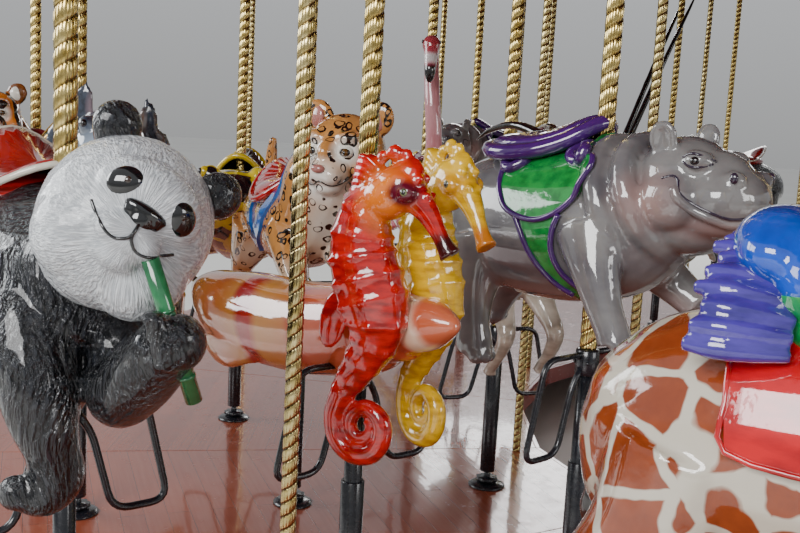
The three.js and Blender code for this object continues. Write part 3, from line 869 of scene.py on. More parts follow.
def panda(ride):
    # Each coat's lighter shade is a painted highlight on the fur crests and its darker shade is painted
    # shade in the grooves, over the coat's own black or white.
    black = panda_fur(ride + "_black_coat", "24262C", "0B0C0F", depth=1.0, gloss=0.1, dull=0.28)
    head_at = face_frame((0.352, -0.013, 1.287), -18.0, 3.0, -34.0)
    white = panda_fur(ride + "_white_coat", "DADDE0", "A9ADB2", head_at, depth=0.5)
    body = bmesh.new()
    limb(body, [(-0.56, 0, 0.98, 0.06), (-0.45, 0, 1.02, 0.19), (-0.16, 0, 1.11, 0.225),
                (0.08, 0, 1.13, 0.19), (0.22, 0.0, 1.17, 0.13)], sides=20)
    limb(body, [(0.06, -0.09, 1.13, 0.13), (0.18, -0.125, 1.01, 0.088), (0.22, -0.118, 0.9, 0.068),
                (0.22, -0.1, 0.83, 0.054), (0.21, -0.09, 0.775, 0.056), (0.2, -0.115, 0.742, 0.05),
                (0.19, -0.15, 0.745, 0.036)], sides=14)
    limb(body, [(0.1, 0.09, 1.1, 0.13), (0.24, 0.05, 0.985, 0.095), (0.31, 0.0, 0.955, 0.068),
                (0.4, 0.0, 1.01, 0.068), (0.49, 0.005, 1.08, 0.06), (0.52, 0.0, 1.1, 0.052)], sides=14)
    mirrored(body, [(-0.36, 0.11, 0.98, 0.15), (-0.4, 0.13, 0.82, 0.1), (-0.49, 0.13, 0.7, 0.07),
                    (-0.56, 0.13, 0.67, 0.06)], sides=14)
    blob(body, (0.19, -0.165, 0.748), (0.035, 0.03, 0.036))
    blob(body, (0.548, 0.006, 1.104), (0.044, 0.048, 0.052))
    for number in range(4):
        blob(body, (0.545 + number * 0.004, -0.042 + number * 0.006, 1.15 - number * 0.026),
             (0.027, 0.024, 0.0145))
    coat = sculpted(ride + "_coat", body, 0.009, 4, black)
    face = bmesh.new()
    blobs(face, ((0, 0, 0), (0.164, 0.16, 0.166)), ((0.05, 0.063, -0.055), (0.102, 0.088, 0.094)),
          ((0.04, -0.058, -0.05), (0.102, 0.088, 0.094)), ((0.135, 0, -0.012), (0.062, 0.062, 0.048)),
          ((0.16, 0.03, -0.016), (0.034, 0.032, 0.026)), ((0.16, -0.03, -0.016), (0.034, 0.032, 0.026)),
          ((0.14, 0, -0.055), (0.04, 0.042, 0.024)), ((0.12, 0, 0.055), (0.06, 0.1, 0.07)),
          ((-0.1, 0, -0.05), (0.12, 0.13, 0.13)))
    head = sculpted(ride + "_head", face, 0.0055, 5, white)
    skin = tree_of(head)
    parts = [head]
    gloss = plain_paint(ride + "_gloss_black", "111215", "08090A", gloss=0.04, dull=0.1, coat=1.0,
                        figure=True)
    eye_brown = plain_paint(ride + "_eye", "3A2314", "160D08", gloss=0.02, dull=0.05, coat=1.0, figure=True)
    for side in (-1, 1):
        spot = laid_on(skin, [(0, side * 0.056, 0.06)], (-1, 0, 0))[0]
        parts.append(small("patch", gloss, blob, (spot.x - 0.01, spot.y, spot.z), (0.0155, 0.0265, 0.032),
                           (side * 48, 0, side * 22)))
        parts.append(small("eye", eye_brown, blob, (spot.x - 0.0005, spot.y - side * 0.003, spot.z + 0.004),
                           (0.0085, 0.0095, 0.0095)))
        parts.append(block("ear", 0.006, 3, black, ((-0.02, side * 0.112, 0.142), (0.03, 0.046, 0.046)),
                           ((-0.03, side * 0.1, 0.125), (0.035, 0.046, 0.04))))
    nose = bmesh.new()
    tip = laid_on(skin, [(0, 0, 0.026)], (-1, 0, 0))[0]
    blobs(nose, ((tip.x - 0.008, 0, tip.z + 0.01), (0.022, 0.041, 0.015)),
          ((tip.x - 0.006, 0, tip.z - 0.006), (0.021, 0.023, 0.024)),
          ((tip.x - 0.009, 0.018, tip.z + 0.002), (0.018, 0.019, 0.016)),
          ((tip.x - 0.009, -0.018, tip.z + 0.002), (0.018, 0.019, 0.016)))
    parts.append(sculpted("nose", nose, 0.003, 5, gloss))
    mouth = bmesh.new()
    for side in (-1, 1):
        lip = curve_through([(0, 0, -0.004), (0, side * 0.004, -0.016), (0, side * 0.02, -0.027),
                             (0, side * 0.04, -0.025), (0, side * 0.062, -0.012), (0, side * 0.082, 0.003)],
                            5)
        painted_line(mouth, skin, lip, (-1, 0, 0), 0.003)
    painted_line(mouth, skin, [(0, 0, 0.02 - step * 0.005) for step in range(7)], (-1, 0, 0), 0.0034)
    closed(mouth)
    parts.append(mesh_object("mouth", mouth, gloss))
    whole_head = joined(ride + "_face", parts)
    whole_head.data.transform(head_at)
    stem = bmesh.new()
    stem_top, stem_foot = Vector((0.528, -0.042, 1.25)), Vector((0.508, 0.055, 0.985))
    rod_along(stem, [stem_top, stem_top.lerp(stem_foot, 0.5), stem_foot], 0.0155, 16)
    for share in (0.35, 0.82):
        knot = stem_top.lerp(stem_foot, share)
        rod_along(stem, [knot - Vector((0, 0.001, -0.003)), knot + Vector((0, 0.001, -0.003))], 0.0168, 16)
    closed(stem)
    bamboo = mesh_object("bamboo", stem, plain_paint(
        ride + "_bamboo", "2F7A4C", "1C5434", scale=18.0, gloss=0.12, dull=0.26, coat=0.6, figure=True))
    red = plain_paint(ride + "_saddle_red", "A81C18", "7E1211", gloss=0.1, dull=0.22, coat=0.8, figure=True)
    # The rolled rim round the red saddle is painted pale cream as a painted highlight along the saddle's
    # edge.
    pale = plain_paint(ride + "_saddle_rim", "D8D2C6", "B9AFA0", gloss=0.12, dull=0.25, coat=0.8,
                       figure=True)
    saddle = seat("saddle", (-0.18, 0, 1.345), (0.19, 0.17), (0.09, 0.03), 0.05, red, 0.008, pale)
    saddle.append(block("saddle_flank", 0.008, 3, red, ((-0.185, 0, 1.292), (0.178, 0.172, 0.062))))
    return joined(ride + "_shape", [coat, whole_head, bamboo] + saddle)


# Seahorses and shell
def armoured(bm, places, sides, steps, pitch, keels, relief, flat):
    """A limb whose rings swell at even steps and along its keels, as plated armour does."""
    path = eased(places, steps)
    frames = carried_frames(path)
    start = len(bm.verts)
    limb(bm, [(*spot, radius) for spot, radius in path], sides=sides, steps=1, flat=flat)
    bm.verts.ensure_lookup_table()
    travelled = [0.0]
    for (before, _), (after, _) in zip(path, path[1:]):
        travelled.append(travelled[-1] + (after - before).length)
    rings = [bm.verts[start + i * sides:start + (i + 1) * sides] for i in range(len(path))]
    for ring, frame_matrix, run in zip(rings, frames, travelled):
        back = frame_matrix.inverted()
        ridge = max(0.0, math.cos(2 * math.pi * run / pitch)) ** 3
        for vert in ring:
            local = back @ vert.co
            around = math.atan2(local.y / flat[1], local.x / flat[0])
            keel = max(0.0, math.cos(keels * around)) ** 4
            swell = 1 + relief * (ridge * 0.7 + keel * 0.6 + ridge * keel * 1.2)
            vert.co = frame_matrix @ Vector((local.x * swell, local.y * swell, local.z))


def seahorse_paint(name, frame_matrix, light, deep, cheek, snout, eye_ring):
    made, tree = start_finish(name, coat=1.0)
    place = own_place(tree, frame_matrix)
    strokes = noise(tree, stretched(tree, place, (12.0, 12.0, 42.0)), 1.6, 3.0)
    base = mixed(tree, spread(tree, strokes, 0.42, 0.66), colour(light), colour(deep))
    base = spotted(tree, place, base, (((0.075, 0, 1.325), (0.06, 0.2, 0.075), 0.45, cheek),
                                       ((0.125, 0, 1.338), (0.038, 0.2, 0.03), 0.25, eye_ring),
                                       ((0.24, 0, 1.205), (0.06, 0.2, 0.055), 0.3, snout)))
    return finish_with(made, use_life(tree, place, base, base, 9.0, 0.06, 0.18, 0.22))


SEAHORSE_TRUNK = [(0.045, 0, 1.325, 0.05), (0.005, 0, 1.275, 0.066), (-0.002, 0, 1.2, 0.08),
                  (0.02, 0, 1.12, 0.088), (0.045, 0, 1.04, 0.082), (0.04, 0, 0.975, 0.06),
                  (0.005, 0, 0.91, 0.045), (-0.032, 0, 0.85, 0.034)]
SEAHORSE_CURL = [(-0.032, 0, 0.85, 0.034), (-0.055, 0, 0.79, 0.029), (-0.045, 0, 0.73, 0.028),
                 (-0.005, 0, 0.698, 0.028), (0.048, 0, 0.704, 0.027), (0.078, 0, 0.745, 0.025),
                 (0.073, 0, 0.792, 0.023), (0.036, 0, 0.815, 0.021), (0.002, 0, 0.8, 0.019),
                 (-0.01, 0, 0.765, 0.017), (0.008, 0, 0.74, 0.015), (0.036, 0, 0.748, 0.012),
                 (0.042, 0, 0.77, 0.01), (0.028, 0, 0.782, 0.007)]


def seahorse(name, frame_matrix, paint, iris, stretch):
    body = bmesh.new()
    armoured(body, SEAHORSE_TRUNK, 36, 8, 0.054, 7, 0.1, (1.0, 0.78))
    limb(body, SEAHORSE_CURL, sides=16, steps=5)
    blob(body, (0.095, 0, 1.345), (0.066, 0.05, 0.058))
    blob(body, (0.065, 0, 1.325), (0.06, 0.054, 0.056))
    blob(body, (0.118, 0, 1.385), (0.036, 0.03, 0.03))
    limb(body, [(0.12, 0, 1.34, 0.042), (0.165, 0, 1.3, 0.03), (0.195, 0, 1.258, 0.021),
                (0.216, 0, 1.226, 0.021), (0.232, 0, 1.204, 0.028)], sides=16, flat=(1.0, 0.9))
    mirrored_blobs(body, ((0.128, 0.036, 1.34), (0.026, 0.018, 0.022)))
    mirrored_blobs(body, ((0.15, 0.018, 1.372), (0.012, 0.01, 0.012)))
    mirrored_blobs(body, ((0.172, 0.014, 1.335), (0.01, 0.008, 0.01)))
    for reach, height, size in ((0.045, 1.425, 0.016), (0.075, 1.436, 0.02), (0.105, 1.432, 0.017),
                                (0.13, 1.415, 0.014)):
        blob(body, (reach, 0, height - 0.01), (size, size * 0.75, size))
    for rib in range(9):
        lean = rib / 8
        limb(body, [(0.045 - 0.02 * lean, 0, 1.385 - 0.105 * lean, 0.008),
                    (0.012 - 0.03 * lean, 0, 1.412 - 0.118 * lean, 0.0095),
                    (-0.02 - 0.03 * lean, 0, 1.414 - 0.13 * lean, 0.005)], sides=8, steps=2,
             flat=(1.0, 2.6))
    blob(body, (-0.07, 0, 1.02), (0.04, 0.01, 0.08), (0, 14, 0))
    shape = sculpted(name, body, 0.0052, 3, paint)
    gloss = plain_paint(name + "_iris", iris, "1A1A14", scale=60.0, gloss=0.02, dull=0.05, coat=1.0,
                        figure=True)
    pupil = plain_paint(name + "_pupil", "08080A", "050506", gloss=0.02, dull=0.04, coat=1.0, figure=True)
    parts = [shape]
    parts += twins("iris", gloss, (0.13, 0.047, 1.341), (0.011, 0.008, 0.011))
    parts += twins("pupil", pupil, (0.131, 0.0535, 1.341), (0.005, 0.003, 0.005))
    for part in parts:
        part.data.transform(Matrix.Diagonal((stretch, 1, 1, 1)))
        part.data.transform(frame_matrix)
    return parts


# Bands of the conch from its tail to its tip: where each stands on the ramp and its shade
SHELL_BANDS = ((0.0, "B9502C"), (0.14, "BC7436"), (0.26, "B4602E"), (0.34, "BC7A38"), (0.365, "9E1B14"),
               (0.405, "A62218"), (0.435, "C2823A"), (0.53, "B86E34"), (0.565, "A6301C"), (0.6, "B8502E"),
               (0.7, "C0502E"), (0.85, "BE4A30"), (0.868, "E2BDA0"), (0.89, "E4C4AA"), (0.908, "BE5A3A"),
               (1.0, "C87050"))


def shell_paint(name):
    made, tree = start_finish(name, coat=1.0)
    place = place_of(tree, True)
    ahead, _, up = split(tree, place)
    drift = calc(tree, "MULTIPLY", noise(tree, place, 5.0, 2.0), 0.1)
    leaning = calc(tree, "ADD", calc(tree, "ADD", ahead, drift), calc(tree, "MULTIPLY", up, 0.35))
    ramp = add_node(tree, "ShaderNodeValToRGB", {"Fac": spread(tree, leaning, -0.55, 0.85)})
    for index, (stop, shade) in enumerate(SHELL_BANDS):
        part = ramp.color_ramp.elements[index] if index < 2 else ramp.color_ramp.elements.new(stop)
        part.position = stop
        part.color = colour(shade)
    base = ramp.outputs["Color"]
    return finish_with(made, use_life(tree, place, base, base, 7.0, 0.05, 0.15, 0.12))


def seahorses(ride):
    red_at = Matrix.Translation((0.165, -0.125, 0)) @ Matrix.Rotation(math.radians(23), 4, "Z")
    gold_at = Matrix.Translation((0.17, 0.07, 0.018)) @ Matrix.Rotation(math.radians(-4), 4, "Z")
    red = seahorse_paint(ride + "_red", red_at, "C2120E", "8E0B0C", "D9701C", "3A0F10", "5A0F22")
    gold = seahorse_paint(ride + "_gold", gold_at, "DDB01A", "B98A10", "E2B52A", "B4691A", "C98F1A")
    shell = bmesh.new()
    limb(shell, [(-0.905, -0.02, 0.93, 0.01), (-0.84, -0.02, 0.932, 0.042), (-0.75, -0.02, 0.922, 0.084),
                 (-0.62, -0.02, 0.905, 0.118), (-0.48, -0.01, 0.902, 0.132), (-0.25, 0, 0.915, 0.13),
                 (-0.02, 0, 0.955, 0.122), (0.085, 0, 0.985, 0.115), (0.1, 0, 0.988, 0.098),
                 (0.2, 0, 1.01, 0.088), (0.215, 0, 1.012, 0.074), (0.29, 0, 1.028, 0.062),
                 (0.345, 0, 1.036, 0.036), (0.378, 0, 1.04, 0.014)], sides=28)
    limb(shell, [(-0.72, -0.07, 0.87, 0.03), (-0.64, -0.09, 0.82, 0.055), (-0.54, -0.1, 0.8, 0.055),
                 (-0.43, -0.1, 0.82, 0.045), (-0.3, -0.07, 0.85, 0.03)], sides=12, flat=(1.0, 0.45))
    hull = sculpted(ride + "_shell", shell, 0.009, 4, shell_paint(ride + "_shell"))
    return joined(ride + "_shape", [hull] + seahorse("red_seahorse", red_at, red, "7E8A5A", 1.0)
                  + seahorse("gold_seahorse", gold_at, gold, "8A8E6A", 1.0))


# Enamel hides
def hide_paint(name, light, deep, spots=(), brush=(9.0, 9.0, 9.0), ripple=0.2):
    """Brushed enamel with soft painted patches."""
    made, tree = start_finish(name, coat=1.0)
    place = place_of(tree, True)
    strokes = noise(tree, stretched(tree, place, brush), 1.7, 4.0)
    base = mixed(tree, spread(tree, strokes, 0.38, 0.66), colour(light), colour(deep))
    base = spotted(tree, place, base, spots)
    return finish_with(made, use_life(tree, place, base, base, 9.0, 0.05, 0.16, ripple))


def wrapped(tree, axis, stations, lift=0.0):
    """Points on a skin, met from outside round an upright axis; a station is an angle and a height."""
    path = []
    for degrees, height in stations:
        out = polar(1, degrees)
        hit, normal, _, _ = tree.ray_cast(Vector((axis[0], axis[1], height)) + out, -out)
        if hit is not None:
            path.append(hit + normal * lift)
    return path


def both_ways(stations):
    """Stations from one mouth corner to the middle, carried on to the other corner."""
    return stations + [(-degrees, height) for degrees, height in reversed(stations[:-1])]


def traced(name, material, lines, radius, sides=8):
    """Thin raised lines through paths that already lie on a skin."""
    bm = bmesh.new()
    for line in lines:
        if len(line) > 2:
            rod_along(bm, curve_through(line, 3), radius, sides)
    closed(bm)
    return mesh_object(name, bm, material)


def side_lines(tree, outline, lift=0.0):
    """A side-view outline laid on both flanks of a skin."""
    return [laid_on(tree, [(x, 0, z) for x, z in outline], (0, side, 0), lift) for side in (-1, 1)]


# Hippo
def hippo(ride):
    pink = [((-0.05, 0, 1.02), (0.3, 0.16, 0.06), 0.6, "A08480"),
            ((0.25, -0.15, 1.335), (0.065, 0.07, 0.055), 0.8, "9A7F7A"),
            ((0.25, 0.15, 1.335), (0.065, 0.07, 0.055), 0.8, "9A7F7A"),
            ((0.4, 0, 1.275), (0.1, 0.12, 0.03), 0.6, "927A76")]
    hide = hide_paint(ride + "_hide", "7A7877", "5C5A5E", pink, brush=(4.0, 4.0, 5.0), ripple=0.1)
    body = bmesh.new()
    limb(body, [(-0.51, 0, 1.205, 0.08), (-0.44, 0, 1.218, 0.17), (-0.27, 0, 1.222, 0.212),
                (-0.06, 0, 1.228, 0.216), (0.1, 0, 1.262, 0.2), (0.2, 0, 1.315, 0.16),
                (0.27, 0, 1.36, 0.13)], sides=24, flat=(1.0, 0.94))
    blobs(body, ((0.27, 0, 1.385), (0.125, 0.138, 0.116)), ((0.392, 0, 1.345), (0.1, 0.128, 0.092)),
          ((0.345, 0, 1.395), (0.105, 0.104, 0.076)), ((0.35, 0, 1.29), (0.115, 0.112, 0.052)),
          ((0.285, 0, 1.27), (0.12, 0.118, 0.08)))
    for fold in range(2):
        turn = Matrix.Translation((0.125 + 0.072 * fold, 0, 1.308 + 0.026 * fold)) @ Matrix.Rotation(
            math.radians(-24), 4, "Y")
        ringed(body, hoop(turn, 0.172 - 0.018 * fold, 0.172 - 0.02 * fold), 0.036, 8)
    mirrored_blobs(body, ((0.29, 0.11, 1.335), (0.085, 0.052, 0.075)))
    mirrored_blobs(body, ((0.35, 0.086, 1.44), (0.04, 0.036, 0.028)))
    mirrored_blobs(body, ((0.44, 0.066, 1.398), (0.03, 0.028, 0.024)))
    mirrored(body, [(0.24, 0.09, 1.45, 0.014), (0.228, 0.104, 1.488, 0.013), (0.238, 0.108, 1.517, 0.012),
                    (0.262, 0.106, 1.524, 0.012), (0.282, 0.102, 1.506, 0.011), (0.284, 0.096, 1.47, 0.01)],
             sides=10)
    mirrored_blobs(body, ((0.252, 0.096, 1.485), (0.026, 0.01, 0.032)))
    hind_near = [(-0.36, -0.1, 1.15, 0.13), (-0.335, -0.135, 1.02, 0.074), (-0.315, -0.15, 0.93, 0.051),
                 (-0.305, -0.15, 0.86, 0.056), (-0.305, -0.15, 0.826, 0.054)]
    hind_far = [(-0.36, 0.1, 1.15, 0.13), (-0.41, 0.125, 1.04, 0.074), (-0.46, 0.135, 0.965, 0.052),
                (-0.505, 0.14, 0.905, 0.052), (-0.525, 0.14, 0.885, 0.05)]
    for path in (hind_near, hind_far):
        limb(body, path, sides=16)
        for toe in (-1, 0, 1):
            blob(body, (path[-1][0] + 0.046 - abs(toe) * 0.01, path[-1][1] + toe * 0.03, path[-1][2]),
                 (0.026, 0.018, 0.024))
    limb(body, [(0.09, -0.13, 1.22, 0.105), (0.132, -0.17, 1.145, 0.07), (0.175, -0.185, 1.06, 0.05),
                (0.212, -0.185, 0.99, 0.045), (0.222, -0.185, 0.962, 0.048)], sides=16)
    limb(body, [(0.07, 0.11, 1.2, 0.11), (0.13, 0.13, 1.125, 0.072), (0.18, 0.14, 1.085, 0.056),
                (0.235, 0.145, 1.05, 0.05), (0.262, 0.145, 1.035, 0.048)], sides=16)
    for toe in (-1, 0, 1):
        blob(body, (0.262 - abs(toe) * 0.008, -0.185 + toe * 0.026, 0.958), (0.024, 0.016, 0.024))
        blob(body, (0.302, 0.145 + toe * 0.027, 1.022), (0.023, 0.017, 0.022))
    coat = sculpted(ride + "_body", body, 0.0085, 4, hide)
    skin = tree_of(coat)
    dark, line = gloss_paint(ride + "_eye", "141014"), gloss_paint(ride + "_line", "2C2234")
    green, plum = hide_paint(ride + "_green", "1E8A3C", "136A2C", brush=(20, 20, 20)), gloss_paint(
        ride + "_plum", "4A1F6E", "351552")
    parts = [coat]
    parts += twins("eye", dark, (0.357, 0.113, 1.44), (0.014, 0.01, 0.011))
    parts += twins("nostril", line, (0.452, 0.088, 1.404), (0.011, 0.008, 0.014))
    mouth = both_ways([(-117, 1.392), (-110, 1.4), (-103, 1.39), (-97, 1.362), (-86, 1.338), (-66, 1.32),
                       (-44, 1.306), (-22, 1.31), (0, 1.316)])
    lines = [wrapped(skin, (0.36, 0), mouth)]
    lines += side_lines(skin, [(0.326, 1.436), (0.345, 1.426), (0.368, 1.425), (0.39, 1.434)])
    lines += side_lines(skin, [(0.322, 1.446), (0.342, 1.456), (0.366, 1.455), (0.392, 1.44)])
    lip = [(degrees, height - 0.016) for degrees, height in mouth if abs(degrees) < 105]
    parts.append(traced("lip", hide, [wrapped(skin, (0.36, 0), lip, -0.003)], 0.013, 10))
    parts.append(traced("lines", line, lines, 0.0036))
    edge = [(-0.3, 1.425), (-0.28, 1.404), (-0.235, 1.376), (-0.221, 1.345), (-0.203, 1.314),
            (-0.167, 1.276), (-0.116, 1.257), (-0.052, 1.253), (0.007, 1.276), (0.053, 1.317),
            (0.082, 1.362), (0.097, 1.405), (0.085, 1.43)]
    girth_back = [(-0.128, 1.262), (-0.1, 1.218), (-0.068, 1.158), (-0.02, 1.097), (0.02, 1.06)]
    girth_front = [(0.02, 1.276), (0.008, 1.232), (0.002, 1.175), (0.022, 1.118), (0.062, 1.075)]
    parts.append(cover("blanket", coat, [(-0.3, 1.6)] + edge + [(0.03, 1.46), (0.02, 1.6)], 0.01, green))
    parts.append(cover("girth", coat, girth_back + [(0.03, 0.9), (0.075, 0.9)] + girth_front[::-1], 0.007,
                       green))
    parts.append(traced("piping", plum, side_lines(skin, edge, 0.011) + side_lines(
        skin, girth_back, 0.009) + side_lines(skin, girth_front, 0.009), 0.0085))
    parts += seat("saddle", (-0.18, 0, 1.452), (0.18, 0.15), (0.01, 0.05), 0.022, plum, 0.024, plum,
                  lean=0.12, thick=0.045, taper=0.35)
    scrolls = bmesh.new()
    for side in (-1, 1):
        for places in ([(0.02, 1.462), (0.06, 1.44), (0.045, 1.415), (0.005, 1.405), (-0.03, 1.42),
                        (-0.02, 1.44), (0.015, 1.438)], [
                            (-0.17, 1.415), (-0.17, 1.392), (-0.195, 1.374), (-0.222, 1.376),
                            (-0.228, 1.392), (-0.205, 1.398)]):
            path = laid_on(skin, curve_through([(x, 0, z) for x, z in places], 4), (0, -side, 0), 0.016)
            for index, spot in enumerate(path[:-1]):
                rod_along(scrolls, [spot, path[index + 1]], 0.018, 8)
    parts.append(sculpted("scrolls", scrolls, 0.006, 3, plum))
    return joined(ride + "_shape", parts)


# Giraffe
def netted_hide(name, light, deep, net, cell, width):
    """Dark patches parted by a pale net, as on a giraffe."""
    made, tree = start_finish(name, coat=1.0)
    place = place_of(tree, True)
    bent, _ = swayed(tree, place, 11.0, 2.0, 0.05)
    cells = add_node(tree, "ShaderNodeTexVoronoi", {"Vector": bent, "Scale": 1 / cell, "Randomness": 0.72},
                     feature="DISTANCE_TO_EDGE")
    edge, half = cells.outputs["Distance"], width / cell * 0.5
    tone = mixed(tree, noise(tree, place, 38.0, 4.0), colour(light), colour(deep))
    patch = mixed(tree, spread(tree, edge, 0.1, 0.45, 0.0, 0.6), tone, colour(deep))
    base = mixed(tree, spread(tree, edge, half, half + 0.03), colour(net), patch)
    return finish_with(made, use_life(tree, place, base, base, 9.0, 0.07, 0.2, 0.2))


def giraffe(ride):
    hide = netted_hide(ride + "_hide", "98461E", "743014", "C4BCAC", 0.105, 0.014)
    body = bmesh.new()
    limb(body, [(-0.535, 0, 0.915, 0.05), (-0.505, 0, 0.925, 0.11), (-0.45, 0, 0.955, 0.158),
                (-0.385, 0, 1.0, 0.19), (-0.3, 0, 1.03, 0.208), (-0.08, 0, 1.04, 0.215),
                (0.12, 0, 1.09, 0.195), (0.26, 0, 1.27, 0.125), (0.36, 0, 1.48, 0.09),
                (0.46, 0, 1.72, 0.07), (0.52, 0, 1.86, 0.066), (0.58, 0, 1.885, 0.062),
                (0.66, 0, 1.862, 0.046), (0.725, 0, 1.835, 0.04)], sides=22, flat=(1.0, 0.94))
    blob(body, (0.545, 0, 1.885), (0.07, 0.056, 0.06))
    mirrored(body, [(0.1, 0.11, 1.02, 0.12), (0.2, 0.13, 0.88, 0.075), (0.31, 0.145, 0.8, 0.052),
                    (0.27, 0.145, 0.69, 0.038), (0.215, 0.145, 0.6, 0.036), (0.205, 0.145, 0.56, 0.042)],
             sides=14)
    mirrored(body, [(-0.35, 0.09, 1.0, 0.13), (-0.395, 0.125, 0.87, 0.098), (-0.5, 0.14, 0.75, 0.058),
                    (-0.575, 0.145, 0.66, 0.04), (-0.61, 0.145, 0.57, 0.04), (-0.605, 0.145, 0.545, 0.044)],
             sides=14)
    mirrored(body, [(0.535, 0.03, 1.92, 0.014), (0.522, 0.036, 1.955, 0.011), (0.518, 0.038, 1.968, 0.015)],
             sides=8)
    mirrored(body, [(0.5, 0.05, 1.91, 0.016), (0.475, 0.09, 1.925, 0.022), (0.46, 0.12, 1.92, 0.008)],
             sides=10, flat=(1.0, 0.5))
    coat = sculpted(ride + "_body", body, 0.0085, 4, hide)
    skin = tree_of(coat)
    dark = gloss_paint(ride + "_dark", "1C1210")
    plum, blue = hide_paint(ride + "_plum", "4A3A9C", "2F2474", brush=(8, 8, 30)), hide_paint(
        ride + "_blue", "1450C8", "0C3AA0")
    green, red = hide_paint(ride + "_green", "12A24C", "0C7A3A"), hide_paint(
        ride + "_red", "C8121C", "980A12", brush=(6, 6, 20))
    gold = gold_paint(ride)
    parts = [coat]
    parts.append(cover("drape", coat, [(-0.29, 1.6), (-0.283, 1.2), (-0.276, 1.12), (-0.266, 1.052),
                                       (-0.12, 1.04), (0.02, 1.046), (0.1, 1.066), (0.115, 1.12),
                                       (0.12, 1.6)], 0.016, red))
    ruffle = bmesh.new()
    for fold in range(17):
        angle = math.radians(3 + fold * 174 / 16)
        wave = 0.01 * math.sin(fold * 2.1)
        spots = [(-0.2, 0.168, 0.012), (-0.245, 0.186, 0.016), (-0.295, 0.202, 0.018),
                 (-0.335 - wave, 0.2, 0.011)]
        limb(ruffle, [(x, math.cos(angle) * reach, 1.195 + math.sin(angle) * reach * 0.74, radius) for x,
                      reach, radius in spots], sides=10)
    blob(ruffle, (-0.255, 0, 1.235), (0.05, 0.176, 0.096))
    parts.append(sculpted("ruffle", ruffle, 0.0055, 2, plum))
    saddle_block = block("saddle_block", 0.0085, 6, blue, ((-0.05, 0, 1.24), (0.215, 0.196, 0.092)),
                         ((-0.18, 0, 1.305), (0.085, 0.185, 0.092), (0, -12, 0)),
                         ((-0.245, 0, 1.335), (0.082, 0.17, 0.068), (0, 20, 0)),
                         ((0.1, 0, 1.29), (0.06, 0.15, 0.085), (0, 14, 0)))
    parts.append(saddle_block)
    parts.append(cover("pad", saddle_block, [
        (-0.232, 1.1), (-0.222, 1.284), (-0.16, 1.292), (0.02, 1.29), (0.13, 1.27), (0.14, 1.1)], 0.006,
                       green))
    parts += seat("saddle", (-0.055, 0, 1.325), (0.15, 0.13), (0.06, 0.045), 0.03, dark, 0.009, gold)
    parts.append(traced("hem", red, side_lines(
        skin, [(-0.282, 1.17), (-0.275, 1.12), (-0.265, 1.055), (-0.12, 1.043), (0.02, 1.049),
               (0.098, 1.069), (0.112, 1.12), (0.116, 1.17)], 0.016), 0.005))
    parts += twins("bead", gold, (0.598, 0.046, 1.898), (0.013, 0.008, 0.013))
    eyes = bmesh.new()
    mirrored_blobs(eyes, ((0.59, 0.047, 1.898), (0.014, 0.009, 0.013)),
                   ((0.2, 0.145, 0.56), (0.048, 0.04, 0.03)), ((-0.605, 0.145, 0.545), (0.048, 0.04, 0.03)))
    limb(eyes, [(-0.485, 0.03, 1.02, 0.018), (-0.545, 0.07, 0.96, 0.014), (-0.56, 0.1, 0.87, 0.012),
                (-0.565, 0.11, 0.8, 0.026), (-0.57, 0.115, 0.745, 0.006)], sides=10)
    limb(eyes,
         [(0.235, 0, 1.4, 0.014), (0.33, 0, 1.6, 0.018), (0.41, 0, 1.8, 0.018), (0.48, 0, 1.93, 0.012)],
         sides=10, flat=(1.0, 0.5))
    parts.append(sculpted("dark", eyes, 0.006, 2, dark))
    return joined(ride + "_shape", parts)


# Leopard and tiger
def marked_hide(name, light, deep, mark, stripes, spots, cell=0.062):
    """A cat's coat: rosettes or stripes over brushed enamel, with soft pale patches laid over them."""
    made, tree = start_finish(name, coat=1.0)
    place = place_of(tree, True)
    bent, sway = swayed(tree, place, 14.0, 3.0, 0.045)
    base = mixed(tree, noise(tree, place, 30.0, 4.0), colour(light), colour(deep))
    if stripes:
        bands = add_node(tree, "ShaderNodeTexWave", {
            "Vector": bent, "Scale": 4.2, "Distortion": 5.0, "Detail": 2.0, "Detail Scale": 1.6},
                         bands_direction="X")
        inked = spread(tree, bands.outputs["Fac"], 0.7, 0.8)
    else:
        cells = add_node(tree, "ShaderNodeTexVoronoi",
                         {"Vector": bent, "Scale": 1 / cell, "Randomness": 0.8})
        away = calc(tree, "ABSOLUTE", calc(tree, "SUBTRACT", cells.outputs["Distance"], 0.34))
        worn = calc(tree, "ADD", away, calc(tree, "MULTIPLY", sway, 0.3))
        inked = spread(tree, worn, 0.205, 0.235, 1.0, 0.0)
    base = mixed(tree, inked, spotted(tree, place, base, spots), colour(mark))
    return finish_with(made, use_life(tree, place, base, base, 9.0, 0.07, 0.2, 0.2))


